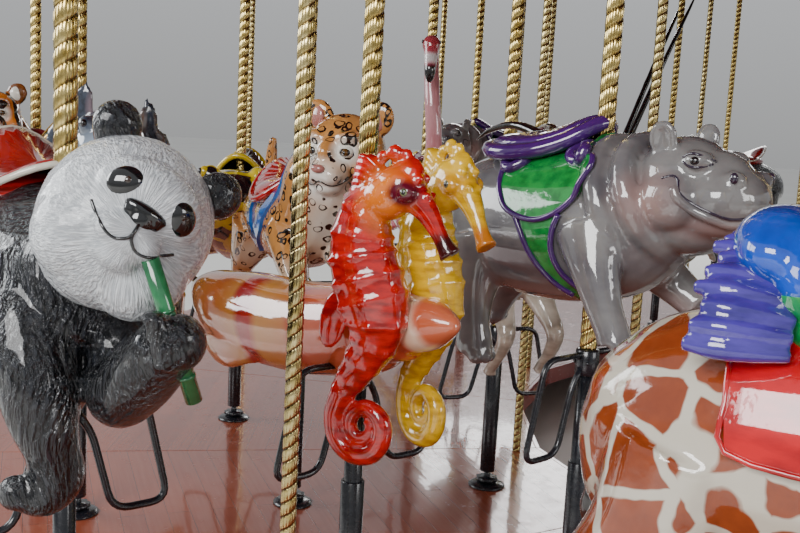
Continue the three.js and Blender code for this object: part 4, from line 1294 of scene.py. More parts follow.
def cat(ride, coat_shades, mark, stripes, saddle_shade, drape_shade, head_spot, face_turn, face_drop, size,
        cell, build=1.0):
    head_at = face_frame(head_spot, face_turn, -face_drop, 0.0) @ Matrix.Diagonal((size, size, size, 1))
    pale = [((0.0, 0, 0.93), (0.6, 0.2, 0.075), 0.5, "DAD0BE"),
            ((0.25, 0.03, 1.19), (0.12, 0.11, 0.17), 0.35, "E2DCD0")]
    if stripes:
        pale += [(tuple(head_at @ Vector((-0.035, side * 0.084, 0.085))), (0.045, 0.05, 0.055), 0.3,
                  "1A1412") for side in (-1, 1)]
    for spot, wide in (((0.09, 0.05, 0.014), 0.034), ((0.09, -0.05, 0.014), 0.034),
                       ((0.12, 0, -0.062), 0.055)):
        pale.append((tuple(head_at @ Vector(spot)), (wide * size,) * 3, 0.35, "E8E2D8"))
    hide = marked_hide(ride + "_hide", *coat_shades, mark, stripes, pale, cell)
    body = bmesh.new()
    limb(body, [(-0.53, 0, 1.09, 0.07), (-0.45, 0, 1.1, 0.135 * build), (-0.22, 0, 1.085, 0.155 * build),
                (0.04, 0, 1.1, 0.165 * build), (0.15, head_spot[1] * 0.2, 1.17, 0.145),
                (0.22, head_spot[1] * 0.5, 1.28, 0.112 * size),
                (head_spot[0] - 0.04, head_spot[1] * 0.9, head_spot[2] - 0.04, 0.088 * size)], sides=20,
         flat=(1.0, 1.06))
    mirrored(body, [(0.12, 0.08, 1.08, 0.095), (0.24, 0.1, 0.99, 0.06), (0.35, 0.11, 0.935, 0.044),
                    (0.44, 0.11, 0.915, 0.04), (0.475, 0.11, 0.905, 0.044)], [
                        (-0.42, 0.08, 1.04, 0.115), (-0.47, 0.11, 0.93, 0.075), (-0.53, 0.12, 0.85, 0.047),
                        (-0.57, 0.12, 0.79, 0.04), (-0.6, 0.12, 0.745, 0.044)], sides=14)
    limb(body, [(-0.49, 0, 1.1, 0.045), (-0.545, 0, 1.16, 0.034), (-0.572, 0, 1.25, 0.028),
                (-0.56, 0, 1.34, 0.024), (-0.54, 0, 1.4, 0.015)], sides=12)
    head = bmesh.new()
    blobs(head, ((0, 0, 0), (0.098, 0.102, 0.094)), ((0.082, 0, -0.036), (0.06, 0.058, 0.044)),
          ((0.092, 0, -0.072), (0.038, 0.036, 0.022)), ((0.075, 0, 0.01), (0.052, 0.026, 0.034)))
    mirrored_blobs(head, ((0.116, 0.023, -0.04), (0.028, 0.027, 0.025)))
    mirrored_blobs(head, ((0.028, 0.07, -0.036), (0.05, 0.04, 0.046)))
    mirrored_blobs(head, ((0.062, 0.04, 0.044), (0.032, 0.03, 0.02)))
    mirrored_blobs(head, ((-0.02, 0.084, 0.08), (0.018, 0.04, 0.046), (-24, 0, 0)))
    poured(body, head, head_at)
    coat = sculpted(ride + "_body", body, 0.0072, 3, hide)
    skin = tree_of(coat)
    black, white = gloss_paint(ride + "_black", "121012"), gloss_paint(ride + "_white", "E8E4DA", "CFC9BC")
    pink, iris = gloss_paint(ride + "_pink", "B77A72", "9A5F58"), gloss_paint(
        ride + "_iris", "6B4A1C", "3A2610")
    parts = [coat]
    for side in (-1, 1):
        for material, centre, radii in ((white, (0.083, side * 0.046, 0.012), (0.012, 0.018, 0.014)),
                                        (black, (0.086, side * 0.046, 0.012), (0.011, 0.0155, 0.0115)),
                                        (iris, (0.09, side * 0.047, 0.012), (0.0095, 0.0095, 0.0095)),
                                        (black, (0.0955, side * 0.0475, 0.012), (0.005, 0.0045, 0.0055)),
                                        (white if stripes else pink, (-0.007, side * 0.084, 0.08),
                                         (0.01, 0.024, 0.029))):
            parts.append(small("face_bit", material, blob, head_at @ Vector(centre),
                               [size * r for r in radii], (0, 0, face_turn + side * 24)))
    parts.append(small("nose", pink, blob, head_at @ Vector((0.14, 0, -0.022)),
                       [size * r for r in (0.012, 0.018, 0.011)], (0, 0, face_turn)))
    lips = [(0.075, -0.06, -0.052), (0.115, -0.047, -0.062), (0.139, -0.022, -0.064), (0.142, 0, -0.052),
            (0.139, 0.022, -0.064), (0.115, 0.047, -0.062), (0.075, 0.06, -0.052)]
    path = []
    for spot in lips:
        start = head_at @ Vector((spot[0] + 0.3, spot[1] * 4, spot[2]))
        aim = (head_at @ Vector((0.02, 0, spot[2]))) - start
        hit = skin.ray_cast(start, aim)[0]
        if hit is not None:
            path.append(hit)
    parts.append(traced("lips", black, [path], 0.0032))
    red, blue = hide_paint(ride + "_saddle", *saddle_shade, brush=(12, 12, 12)), hide_paint(
        ride + "_drape", *drape_shade)
    parts += seat("saddle", (-0.1, 0, 1.262), (0.225, 0.172), (0.05, 0.035), 0.085, red, 0.013, red,
                  thick=0.05)
    parts.append(block("pad", 0.008, 3, red, ((-0.1, 0, 1.195), (0.225, 0.168, 0.078))))
    vee = [(-0.3, 1.6), (-0.285, 1.2), (-0.19, 1.1), (-0.06, 0.985), (0.06, 1.08), (0.125, 1.2),
           (0.13, 1.6), (0.075, 1.6), (0.07, 1.2), (0.015, 1.115), (-0.065, 1.055), (-0.16, 1.13),
           (-0.225, 1.2), (-0.23, 1.6)]
    parts.append(cover("drape", coat, vee, 0.012, blue))
    collar = bmesh.new()
    for tilt, reach in ((-38, 0.12), (-30, 0.132)):
        turn = Matrix.Translation((0.235 - (tilt + 38) * 0.004, 0.035,
                                   1.275 - (tilt + 38) * 0.004)) @ Matrix.Rotation(
                                       math.radians(tilt), 4, "Y")
        ringed(collar, hoop(turn, reach, reach), 0.016, 8)
    parts.append(sculpted("collar", collar, 0.006, 2, black if not stripes else blue))
    return joined(ride + "_shape", parts)


def leopard(ride):
    return cat(ride, ("C98F52", "A96E34"), "1A1310", False, ("B3161A", "8A0F14"), ("1F6FC2", "15509A"),
               (0.275, 0.072, 1.385), -46.0, 8.0, 1.4, 0.04)


def tiger(ride):
    return cat(ride, ("CE7A2E", "AE5A1C"), "17110F", True, ("1F7A52", "14563A"), ("7E1A22", "5C1018"),
               (0.31, -0.088, 1.44), 6.0, 4.0, 1.08, 0.062, 1.08)


# Oryx
def oryx(ride):
    tall = ride.startswith("far")
    spots = [((0, 0, 0.8), (0.45, 0.12, 0.05), 0.4, "E3DACB"),
             ((0.48, 0, 1.335), (0.045, 0.1, 0.03), 0.3, "2A211E"),
             ((0.6, 0, 1.25), (0.035, 0.08, 0.035), 0.3, "E6DFD2"),
             ((0.42, 0, 1.43), (0.03, 0.03, 0.03), 0.4, "241C1A")]
    hide = hide_paint(ride + "_hide", "B9AC9C", "968A7C", spots, brush=(9, 9, 24))
    body = bmesh.new()
    limb(body, [(-0.57, 0, 0.96, 0.06), (-0.49, 0, 0.965, 0.14), (-0.3, 0, 0.95, 0.172),
                (-0.08, 0, 0.945, 0.175), (0.1, 0, 0.985, 0.165), (0.19, 0, 1.09, 0.125),
                (0.29, 0, 1.26, 0.088), (0.355, 0, 1.375, 0.076)], sides=20, flat=(1, 0.9))
    blob(body, (0.395, 0, 1.395), (0.078, 0.058, 0.06))
    limb(body, [(0.4, 0, 1.39, 0.055), (0.48, 0, 1.335, 0.045), (0.56, 0, 1.275, 0.038),
                (0.605, 0, 1.245, 0.034)], sides=14)
    mirrored(body, [(0.12, 0.07, 0.93, 0.095), (0.22, 0.09, 0.81, 0.05), (0.3, 0.105, 0.715, 0.036),
                    (0.25, 0.11, 0.62, 0.026), (0.195, 0.11, 0.56, 0.024), (0.185, 0.11, 0.535, 0.03)],
             [(-0.43, 0.08, 0.92, 0.12), (-0.44, 0.1, 0.8, 0.065), (-0.5, 0.12, 0.69, 0.04),
              (-0.54, 0.12, 0.6, 0.027), (-0.59, 0.12, 0.54, 0.025), (-0.585, 0.12, 0.515, 0.03)], sides=14)
    mirrored(body, [(0.37, 0.045, 1.42, 0.014), (0.335, 0.1, 1.45, 0.026), (0.31, 0.135, 1.455, 0.006)],
             sides=10, flat=(1.0, 0.45))
    limb(body, [(-0.575, 0, 1.02, 0.02), (-0.605, 0, 0.93, 0.015), (-0.6, 0, 0.84, 0.014),
                (-0.595, 0, 0.78, 0.028), (-0.595, 0, 0.71, 0.006)], sides=10)
    coat = sculpted(ride + "_body", body, 0.0082, 4, hide)
    black = gloss_paint(ride + "_black", "141315", "0C0B0D")
    red, trim = hide_paint(ride + "_red", "7E1A22", "5A1018"), gloss_paint(
        ride + "_trim", "D9D2C4", "C2B8A6")
    horns = bmesh.new()
    for side in (-1, 1):
        if tall:
            path = [(0.395, side * 0.03, 1.425, 0.024), (0.34, side * 0.04, 1.56, 0.022),
                    (0.15, side * 0.055, 2.03, 0.017), (-0.02, side * 0.065, 2.42, 0.01),
                    (-0.07, side * 0.068, 2.54, 0.003)]
        else:
            path = [(0.395, side * 0.03, 1.425, 0.022), (0.33, side * 0.045, 1.475, 0.02),
                    (0.18, side * 0.075, 1.505, 0.015), (0.03, side * 0.1, 1.48, 0.01),
                    (-0.07, side * 0.11, 1.44, 0.003)]
        armoured(horns, path, 12, 12, 0.034, 1, 0.07, (1.0, 1.0))
    closed(horns)
    parts = [coat, mesh_object("horns", horns, black)]
    parts += twins("eye", black, (0.425, 0.05, 1.405), (0.013, 0.009, 0.012))
    parts.append(cover("blanket", coat, [(-0.33, 1.4), (-0.31, 1.02), (-0.18, 0.9), (-0.02, 0.88),
                                         (0.11, 0.95), (0.16, 1.06), (0.15, 1.4)], 0.011, red))
    parts += seat("saddle", (-0.09, 0, 1.145), (0.21, 0.135), (0.085, 0.055), 0.05, red, 0.009, trim,
                  thick=0.03)
    return joined(ride + "_shape", parts)


# Frog
def frog(ride):
    hide = netted_hide(ride + "_hide", "17161B", "0E0D11", "CDB41E", 0.165, 0.03)
    body = bmesh.new()
    limb(body, [(-0.47, 0, 0.82, 0.06), (-0.36, 0, 0.86, 0.16), (-0.2, 0, 0.93, 0.2),
                (-0.02, 0, 1.0, 0.205), (0.16, 0, 1.08, 0.185), (0.3, 0, 1.13, 0.145),
                (0.42, 0, 1.145, 0.075)], sides=22, flat=(0.82, 1.12))
    blob(body, (0.32, 0, 1.125), (0.145, 0.165, 0.085))
    for side in (-1, 1):
        blob(body, (0.285, side * 0.105, 1.215), (0.05, 0.046, 0.046))
        for reach in (-1, 0, 1):
            limb(body, [(0.36, side * 0.26, 0.71, 0.024),
                        (0.44 - abs(reach) * 0.015, side * 0.26 + reach * 0.055, 0.695, 0.011),
                        (0.475 - abs(reach) * 0.02, side * 0.26 + reach * 0.075, 0.69, 0.02)], sides=10)
            limb(body, [(-0.2, side * 0.3, 0.685, 0.028),
                        (-0.1 - abs(reach) * 0.02, side * 0.3 + reach * 0.06, 0.675, 0.012),
                        (-0.06 - abs(reach) * 0.03, side * 0.3 + reach * 0.085, 0.67, 0.022)], sides=10)
    mirrored(body, [(0.13, 0.1, 1.02, 0.085), (0.23, 0.2, 0.92, 0.058), (0.31, 0.26, 0.81, 0.045),
                    (0.355, 0.26, 0.72, 0.034)], [
                        (-0.27, 0.13, 0.9, 0.115), (-0.08, 0.24, 0.87, 0.092), (0.06, 0.27, 0.835, 0.07),
                        (-0.08, 0.29, 0.74, 0.055), (-0.22, 0.3, 0.69, 0.04)], sides=14)
    coat = sculpted(ride + "_body", body, 0.0085, 4, hide)
    skin = tree_of(coat)
    black, yellow = gloss_paint(ride + "_black", "121115"), gloss_paint(
        ride + "_yellow", "D2B520", "B0930F")
    parts = [coat]
    parts += twins("eye", yellow, (0.305, 0.128, 1.228), (0.028, 0.026, 0.028))
    parts += twins("pupil", black, (0.316, 0.145, 1.23), (0.016, 0.012, 0.017))
    mouth = both_ways([(-120, 1.105), (-95, 1.098), (-65, 1.1), (-35, 1.106), (0, 1.11)])
    parts.append(traced("mouth", yellow, [wrapped(skin, (0.28, 0), mouth)], 0.0045))
    parts += seat("saddle", (-0.08, 0, 1.215), (0.2, 0.15), (0.1, 0.085), 0.06, black, 0.014, yellow,
                  thick=0.035)
    parts.append(block("block", 0.008, 3, black, ((-0.08, 0, 1.15), (0.18, 0.13, 0.075))))
    return joined(ride + "_shape", parts)


# Flamingo
def flamingo(ride):
    spots = [((0.33, 0, 1.55), (0.1, 0.1, 0.24), 0.5, "C98C92"),
             ((0.385, 0, 1.85), (0.07, 0.06, 0.045), 0.3, "A8323C"),
             ((0.43, 0, 1.785), (0.05, 0.05, 0.028), 0.3, "DDD6D6"),
             ((0.45, 0, 1.715), (0.05, 0.05, 0.046), 0.2, "131214"),
             ((-0.55, 0, 1.02), (0.12, 0.12, 0.06), 0.4, "2A2024")]
    hide = hide_paint(ride + "_hide", "CF6F7C", "B04C5C", spots, brush=(26, 10, 10))
    body = bmesh.new()
    limb(body, [(-0.6, 0, 1.01, 0.02), (-0.53, 0, 1.02, 0.075), (-0.42, 0, 1.03, 0.125),
                (-0.2, 0, 1.055, 0.175), (0.0, 0, 1.08, 0.165), (0.13, 0, 1.12, 0.115),
                (0.24, 0.02, 1.19, 0.066), (0.305, 0.035, 1.29, 0.045), (0.335, 0.037, 1.4, 0.04),
                (0.33, 0.02, 1.58, 0.038), (0.3, 0.005, 1.76, 0.036), (0.305, 0, 1.84, 0.036),
                (0.345, 0, 1.868, 0.04)], sides=18)
    blob(body, (0.385, 0, 1.85), (0.056, 0.043, 0.046))
    limb(body, [(0.4, 0, 1.835, 0.04), (0.425, 0, 1.785, 0.034), (0.445, 0, 1.74, 0.031),
                (0.448, 0, 1.7, 0.024), (0.44, 0, 1.675, 0.008)], sides=14, flat=(1.0, 0.9))
    for side in (-1, 1):
        for feather in range(5):
            limb(body, [(0.02 - 0.03 * feather, side * (0.13 + 0.004 * feather), 1.12 - 0.035 * feather,
                         0.03), (-0.22, side * (0.165 - 0.004 * feather), 1.09 - 0.034 * feather, 0.036),
                        (-0.46 - 0.015 * feather, side * 0.085, 1.05 - 0.02 * feather, 0.01)], sides=10,
                 flat=(1.0, 0.55))
    mirrored(body, [(-0.14, 0.06, 0.96, 0.06), (-0.11, 0.08, 0.84, 0.026), (-0.075, 0.09, 0.74, 0.024),
                    (-0.15, 0.09, 0.66, 0.018), (-0.225, 0.09, 0.585, 0.018), (-0.17, 0.09, 0.566, 0.016)],
             sides=14)
    coat = sculpted(ride + "_body", body, 0.0075, 3, hide)
    black, plum = gloss_paint(ride + "_black", "101012"), hide_paint(ride + "_saddle", "6E1C3A", "4E1028")
    parts = [coat]
    parts += twins("eye", black, (0.4, 0.04, 1.862), (0.009, 0.006, 0.009))
    parts += seat("saddle", (-0.1, 0, 1.265), (0.18, 0.12), (0.085, 0.06), 0.045, plum, 0.01, plum,
                  thick=0.03)
    parts.append(block("block", 0.008, 3, plum, ((-0.1, 0, 1.215), (0.155, 0.105, 0.055))))
    return joined(ride + "_shape", parts)


# Elephant
def elephant(ride):
    spots = [((0.4, 0.06, 1.32), (0.08, 0.11, 0.09), 0.6, "98A6B8"),
             ((0.215, 0.035, 1.49), (0.035, 0.018, 0.045), 0.5, "75656E"),
             ((0.215, 0.19, 1.45), (0.035, 0.018, 0.045), 0.5, "5E4B44"),
             ((0.3, 0.11, 1.45), (0.1, 0.07, 0.05), 0.5, "5A4038")]
    hide = hide_paint(ride + "_hide", "343B49", "20252F", spots, brush=(9, 30, 30))
    body = bmesh.new()
    limb(body, [(-0.58, 0, 1.09, 0.08), (-0.5, 0, 1.1, 0.18), (-0.3, 0, 1.1, 0.235),
                (-0.08, 0, 1.11, 0.235), (0.1, 0, 1.18, 0.19), (0.2, 0.03, 1.28, 0.15)], sides=22,
         flat=(1.0, 0.96))
    blobs(body, ((0.27, 0.09, 1.36), (0.14, 0.12, 0.125)), ((0.3, 0.1, 1.445), (0.09, 0.085, 0.055)),
          ((0.37, 0.07, 1.27), (0.085, 0.085, 0.085)))
    limb(body, [(0.37, 0.06, 1.3, 0.085), (0.43, 0.04, 1.19, 0.07), (0.47, 0.02, 1.07, 0.056),
                (0.53, 0, 0.985, 0.047), (0.61, 0, 0.955, 0.04), (0.665, 0, 0.985, 0.035),
                (0.675, 0, 1.03, 0.03)], sides=16)
    for side in (-1, 1):
        low = 0.045 if side == 1 else 0.0
        limb(body, [(0.2, 0.09 + side * 0.07, 1.28, 0.09), (0.17, 0.09 + side * 0.125, 1.36, 0.095),
                    (0.19, 0.09 + side * 0.095 + low * 0.6, 1.46 - low, 0.052),
                    (0.2, 0.09 + side * 0.08 + low, 1.53 - low, 0.034),
                    (0.205, 0.09 + side * 0.072 + low, 1.575 - low, 0.008)], sides=16, flat=(1.0, 0.26))
        blob(body, (0.34, 0.08 + side * 0.068, 1.436), (0.032, 0.028, 0.03))
    mirrored(body, [(0.1, 0.12, 1.02, 0.115), (0.13, 0.14, 0.86, 0.088), (0.15, 0.15, 0.7, 0.08),
                    (0.155, 0.15, 0.655, 0.084)], [
                        (-0.41, 0.12, 1.0, 0.13), (-0.44, 0.14, 0.84, 0.092), (-0.475, 0.15, 0.7, 0.08),
                        (-0.48, 0.15, 0.645, 0.084)], sides=14)
    limb(body, [(-0.57, 0, 1.14, 0.024), (-0.64, 0, 1.02, 0.016), (-0.65, 0, 0.9, 0.013),
                (-0.65, 0, 0.84, 0.02), (-0.65, 0, 0.8, 0.005)], sides=10)
    coat = sculpted(ride + "_body", body, 0.0085, 4, hide)
    ivory, black = gloss_paint(ride + "_ivory", "E2DAC4", "CBBF9F"), gloss_paint(ride + "_eye", "0E0D10")
    green, gold = hide_paint(ride + "_green", "1E6E5C", "144E42"), gold_paint(ride)
    tusks = bmesh.new()
    for side in (-1, 1):
        limb(tusks, [(0.4, 0.05 + side * 0.065, 1.21, 0.022), (0.46, 0.03 + side * 0.085, 1.13, 0.018),
                     (0.53, side * 0.095, 1.1, 0.012), (0.58, side * 0.095, 1.115, 0.003)], sides=12)
    closed(tusks)
    parts = [coat, mesh_object("tusks", tusks, ivory)]
    parts += twins("eye", black, (0.362, 0.078, 1.44), (0.014, 0.012, 0.013), 0.08)
    parts.append(cover("blanket", coat, [(-0.36, 1.6), (-0.34, 1.1), (-0.3, 1.0), (-0.12, 0.97),
                                         (0.04, 1.0), (0.08, 1.12), (0.07, 1.6)], 0.012, green))
    parts.append(traced("piping", gold, side_lines(
        tree_of(coat), [(-0.35, 1.25), (-0.34, 1.1), (-0.3, 1.005), (-0.12, 0.975), (0.04, 1.005),
                        (0.078, 1.12), (0.075, 1.22)], 0.013), 0.008))
    parts += seat("saddle", (-0.13, 0, 1.375), (0.205, 0.16), (0.085, 0.06), 0.06, green, 0.011, gold,
                  thick=0.03)
    return joined(ride + "_shape", parts)


# Boards, steel work and roof
HUB_R = 0.45
HUB_BOTTOM = 3.25
HUB_TOP = 3.48
BOARD_R = 5.3
BOARD_BOTTOM = 3.26
BOARD_TOP = 4.02
EAVE_R = 5.33
EAVE_Z = 4.05
APEX_R = 0.42
APEX_Z = 5.15
POST_TOP = 5.08
HOUSING_R = 0.8
HOUSING_FOOT = 0.16
HOUSING_TOP = 3.12
CORNICE_R = 0.85
WALL_BACK = 0.03
BOARD_FACE = BOARD_R - 0.016
HOUSING_FACE = HOUSING_R - 0.014
MIRROR_HEIGHTS = ((0.95, 1.85), (1.98, 2.82))
RAIL_HEIGHTS = (0.02, 0.86, 1.915, 2.9)
RAFTER_TOP = (0.44, 5.136)
RAFTER_FOOT = (5.22, 4.066)
SWEEP_RIMS = ((2.42, 2.5), (5.08, 5.15))
PLATE = 0.012
PAD_REACH = 1.54
OVAL_SIDES = 32
GILT = plain_paint("gilt", "D2A23C", "9C6A1C", scale=16.0, gloss=0.16, dull=0.34, metallic=0.85, coat=0.3)
STEEL = plain_paint("painted_steel", "31363D", "1D2126", scale=5.0, gloss=0.28, dull=0.5, ripple=0.2,
                    coat=0.2)
MIRROR = plain_paint("mirror_glass", "D7DDE0", "C6CDD1", scale=2.0, gloss=0.02, dull=0.05, ripple=0.02,
                     metallic=1.0, coat=1.0)
LAMP = plain_paint("lamp_glass", "F4EBD2", "E6D8B4", scale=40.0, gloss=0.05, dull=0.12, coat=1.0)


def board_paint(name, light, deep, worn, grain=(1.4, 1.4, 24.0)):
    """Brushed enamel on timber, thinner along its brush marks."""
    made, tree = start_finish(name, coat=0.6)
    place = place_of(tree)
    strokes = noise(tree, stretched(tree, place, grain), 3.0, 6.0, 0.7)
    base = mixed(tree, spread(tree, strokes, 0.6, 0.78, 0.0, 0.5), colour(light), colour(worn))
    sharp = add_node(tree, "ShaderNodeNewGeometry").outputs["Pointiness"]
    base = mixed(tree, spread(tree, sharp, 0.53, 0.6, 0.0, 0.5), base, colour(worn))
    life = use_life(tree, place, base, mixed(tree, 0.55, base, colour(deep)), 2.5, 0.16, 0.36, 0.1)
    return finish_with(made, life, bump(tree, strokes, 0.25, 0.0015, life.outputs["Normal"]))


RED_BOARD = board_paint("red_board", "8C1219", "640B12", "B8574E", (1.4, 1.4, 9.0))
CREAM_BOARD = board_paint("cream_board", "E4D8BC", "CBBB98", "F0E8D6")
GREEN_BOARD = board_paint("green_board", "15543A", "0D3B29", "4B8A6C")


def box(bm, centre, size, turn=0.0, edge=0.003):
    place = Matrix.Translation(centre) @ Matrix.Rotation(math.radians(turn), 4, "Z") @ Matrix.Diagonal(
        (*size, 1))
    made = bmesh.ops.create_cube(bm, size=1.0, matrix=place)["verts"]
    edges = list({each for vert in made for each in vert.link_edges})
    bmesh.ops.bevel(bm, geom=edges, offset=edge, segments=1, profile=0.5, affect="EDGES")


def prism(bm, corners, rise, edge=0.002):
    """A flat outline thickened along a vector, with its edges eased."""
    face = bm.faces.new([bm.verts.new(corner) for corner in corners])
    made = bmesh.ops.extrude_face_region(bm, geom=[face])["geom"]
    upper = verts_of(made)
    bmesh.ops.translate(bm, verts=upper, vec=rise)
    edges = list({each for vert in upper + list(face.verts) for each in vert.link_edges})
    bmesh.ops.recalc_face_normals(bm, faces=bm.faces)
    if edge:
        bmesh.ops.bevel(bm, geom=edges, offset=edge, segments=1, profile=0.5, affect="EDGES")


def sector(bm, inner, outer, first, last, bottom, top, edge=0.002):
    corners = [polar(inner, first, bottom), polar(outer, first, bottom), polar(outer, last, bottom),
               polar(inner, last, bottom)]
    prism(bm, corners, Vector((0, 0, top - bottom)), edge)


def fixed(name, bm, material, body, replaced=None, smooth=False):
    piece = mesh_object(name, bm, material, smooth=smooth)
    if smooth:
        piece.data.set_sharp_from_angle(angle=math.radians(35))
    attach(piece, body)
    if replaced:
        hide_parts(replaced)
    return piece


def facet_place(section, radius, height):
    """Frame on the middle of one outward facet: X along the facet, Y outward, Z up."""
    middle = corner_angle(section + 0.5)
    flat = facet_reach(radius)
    return Matrix.Translation(polar(flat, middle, height)) @ Matrix.Rotation(
        math.radians(middle - 90), 4, "Z")


def on_facet(bm, frame_matrix, build):
    """Builds flat work in a facet's frame and moves it into place."""
    part = bmesh.new()
    build(part)
    part.transform(frame_matrix)
    carrier = bpy.data.meshes.new("facet_work")
    part.to_mesh(carrier)
    part.free()
    bm.from_mesh(carrier)
    bpy.data.meshes.remove(carrier)


def slab(bm, x, z, wide, high, deep, out=0.0, edge=0.003):
    """A board in facet coordinates, its back at the given distance out."""
    box(bm, (x, out + deep / 2, z), (wide, deep, high), 0.0, edge)


def bead_frame(bm, x, z, wide, high, radius, out):
    corners = [(x - wide / 2, out, z - high / 2), (x + wide / 2, out, z - high / 2),
               (x + wide / 2, out, z + high / 2), (x - wide / 2, out, z + high / 2)]
    ringed(bm, rounded_path(corners, radius * 3, 3, loop=True), radius, 6)


def oval_ring(x, z, wide, high, out):
    turns = [2 * math.pi * step / OVAL_SIDES for step in range(OVAL_SIDES)]
    return [Vector((x + wide / 2 * math.cos(turn), out, z + high / 2 * math.sin(turn))) for turn in turns]


def rounding_boards():
    height, middle = BOARD_TOP - BOARD_BOTTOM, (BOARD_TOP + BOARD_BOTTOM) / 2
    half = facet_half(BOARD_R)
    field, rails, panels, gilt, glass, lamps = (bmesh.new() for _ in range(6))
    for section in range(SECTIONS):
        first = corner_angle(section)
        sector(field, BOARD_R - WALL_BACK, BOARD_FACE, first, first + SECTION_ANGLE, BOARD_BOTTOM,
               BOARD_TOP, 0.001)
        place = facet_place(section, BOARD_FACE, middle)

        def timber(bm):
            slab(bm, 0, height / 2 - 0.04, half * 2 - 0.07, 0.08, 0.014)
            slab(bm, 0, -height / 2 + 0.05, half * 2 - 0.07, 0.1, 0.014)
            for side in (-1, 1):
                slab(bm, side * 0.37, 0, 0.05, height - 0.18, 0.01)

        def painted(bm):
            for side in (-1, 1):
                slab(bm, side * 0.625, 0.01, 0.4, height - 0.27, 0.01, edge=0.006)

        def golden(bm):
            for side in (-1, 1):
                bead_frame(bm, side * 0.625, 0.01, 0.33, height - 0.34, 0.006, 0.011)
                for lift in (-1, 1):
                    blob(bm, (side * 0.625, 0.011, 0.01 + lift * 0.1), (0.035, 0.006, 0.035), detail=2)
                limb(bm, [(side * 0.555, 0.011, 0.0, 0.004), (side * 0.6, 0.013, 0.055, 0.009),
                          (side * 0.65, 0.013, -0.035, 0.009), (side * 0.695, 0.011, 0.02, 0.004)], sides=8,
                     steps=4)
            ringed(bm, oval_ring(0, 0.01, 0.54, 0.44, 0.012), 0.011, 6)
            for lift in (-1, 1):
                blob(bm, (0, 0.012, 0.01 + lift * 0.245), (0.06, 0.01, 0.026), detail=2)
            box(bm, (0, 0.008, height / 2 - 0.088), (half * 2 - 0.09, 0.012, 0.01), 0.0, 0.002)
            box(bm, (0, 0.008, -height / 2 + 0.108), (half * 2 - 0.09, 0.012, 0.01), 0.0, 0.002)

        on_facet(rails, place, timber)
        on_facet(panels, place, painted)
        on_facet(gilt, place, golden)
        on_facet(glass, place,
                 lambda bm: prism(bm, oval_ring(0, 0.01, 0.53, 0.43, 0.0), Vector((0, 0.008, 0)), 0.0))

        def globes(bm):
            for lift in (height / 2 - 0.04, -height / 2 + 0.05):
                for step in range(-4, 5):
                    blob(bm, (step * 0.2, 0.022, lift), (0.015, 0.013, 0.015), detail=1)

        on_facet(lamps, place, globes)
        corner = polar(BOARD_R - 0.012, first, middle)
        box(rails, corner, (0.028, 0.105, height), first, 0.006)
        box(gilt, polar(BOARD_R + 0.003, first, middle + height / 2 - 0.1), (0.01, 0.06, 0.06), first,
            0.004)
        box(gilt, polar(BOARD_R + 0.003, first, middle - height / 2 + 0.1), (0.01, 0.06, 0.06), first,
            0.004)
    fixed("boards_field", field, CREAM_BOARD, "platform", "rounding_boards")
    fixed("boards_rails", rails, RED_BOARD, "platform")
    fixed("boards_panels", panels, GREEN_BOARD, "platform")
    fixed("boards_gilding", gilt, GILT, "platform", smooth=True)
    fixed("boards_mirrors", glass, MIRROR, "platform")
    fixed("boards_lamps", lamps, LAMP, "platform", smooth=True)


def canvas_finish():
    """Woven roof cloth with sun-faded and rain-streaked patches."""
    made, tree = start_finish("roof_canvas")
    place, along = place_of(tree), uv_place(tree, "canvas")
    sun = spread(tree, noise(tree, place, 0.9, 5.0, 0.6), 0.4, 0.7)
    runs = noise(tree, stretched(tree, along, (9.0, 0.7, 1.0)), 2.0, 4.0)
    base = mixed(tree, sun, colour("9C1A20"), colour("7E141A"))
    base = mixed(tree, spread(tree, runs, 0.56, 0.74, 0.0, 0.6), base, colour("5E1214"))
    threads = []
    for turn in (0.0, math.pi / 2):
        laid = add_node(tree, "ShaderNodeMapping", {"Vector": along, "Rotation": (0, 0, turn)})
        threads.append(add_node(tree, "ShaderNodeTexWave",
                                {"Vector": laid.outputs[0], "Scale": 55.0, "Distortion": 0.4}).outputs[1])
    life = use_life(tree, place, base, base, 3.0, 0.72, 0.88, 0.15)
    woven = bump(tree, calc(tree, "MAXIMUM", *threads), 0.35, 0.0015, life.outputs["Normal"])
    tree.nodes["Principled BSDF"].inputs["Sheen Weight"].default_value = 0.25
    return finish_with(made, life, woven)


CLOTH_THICK = 0.003
SAG = 0.045
GORE_STEPS = 8
SLOPE_STEPS = 24


def cloth_point(section, across, down, lift=0.0):
    """A point of the roof cloth, by its shares of the way across a gore and down from apex to eave."""
    first = corner_angle(section)
    reach, height = APEX_R + (EAVE_R - 0.004 - APEX_R) * down, APEX_Z + (EAVE_Z - APEX_Z) * down
    spot = polar(reach, first, height).lerp(polar(reach, first + SECTION_ANGLE, height), across)
    slack = SAG * 4 * across * (1 - across) * math.sin(math.pi * min(1.0, down)) ** 0.8 * (
        0.35 + 0.65 * down)
    spot.z += lift - 0.003 - slack
    return spot


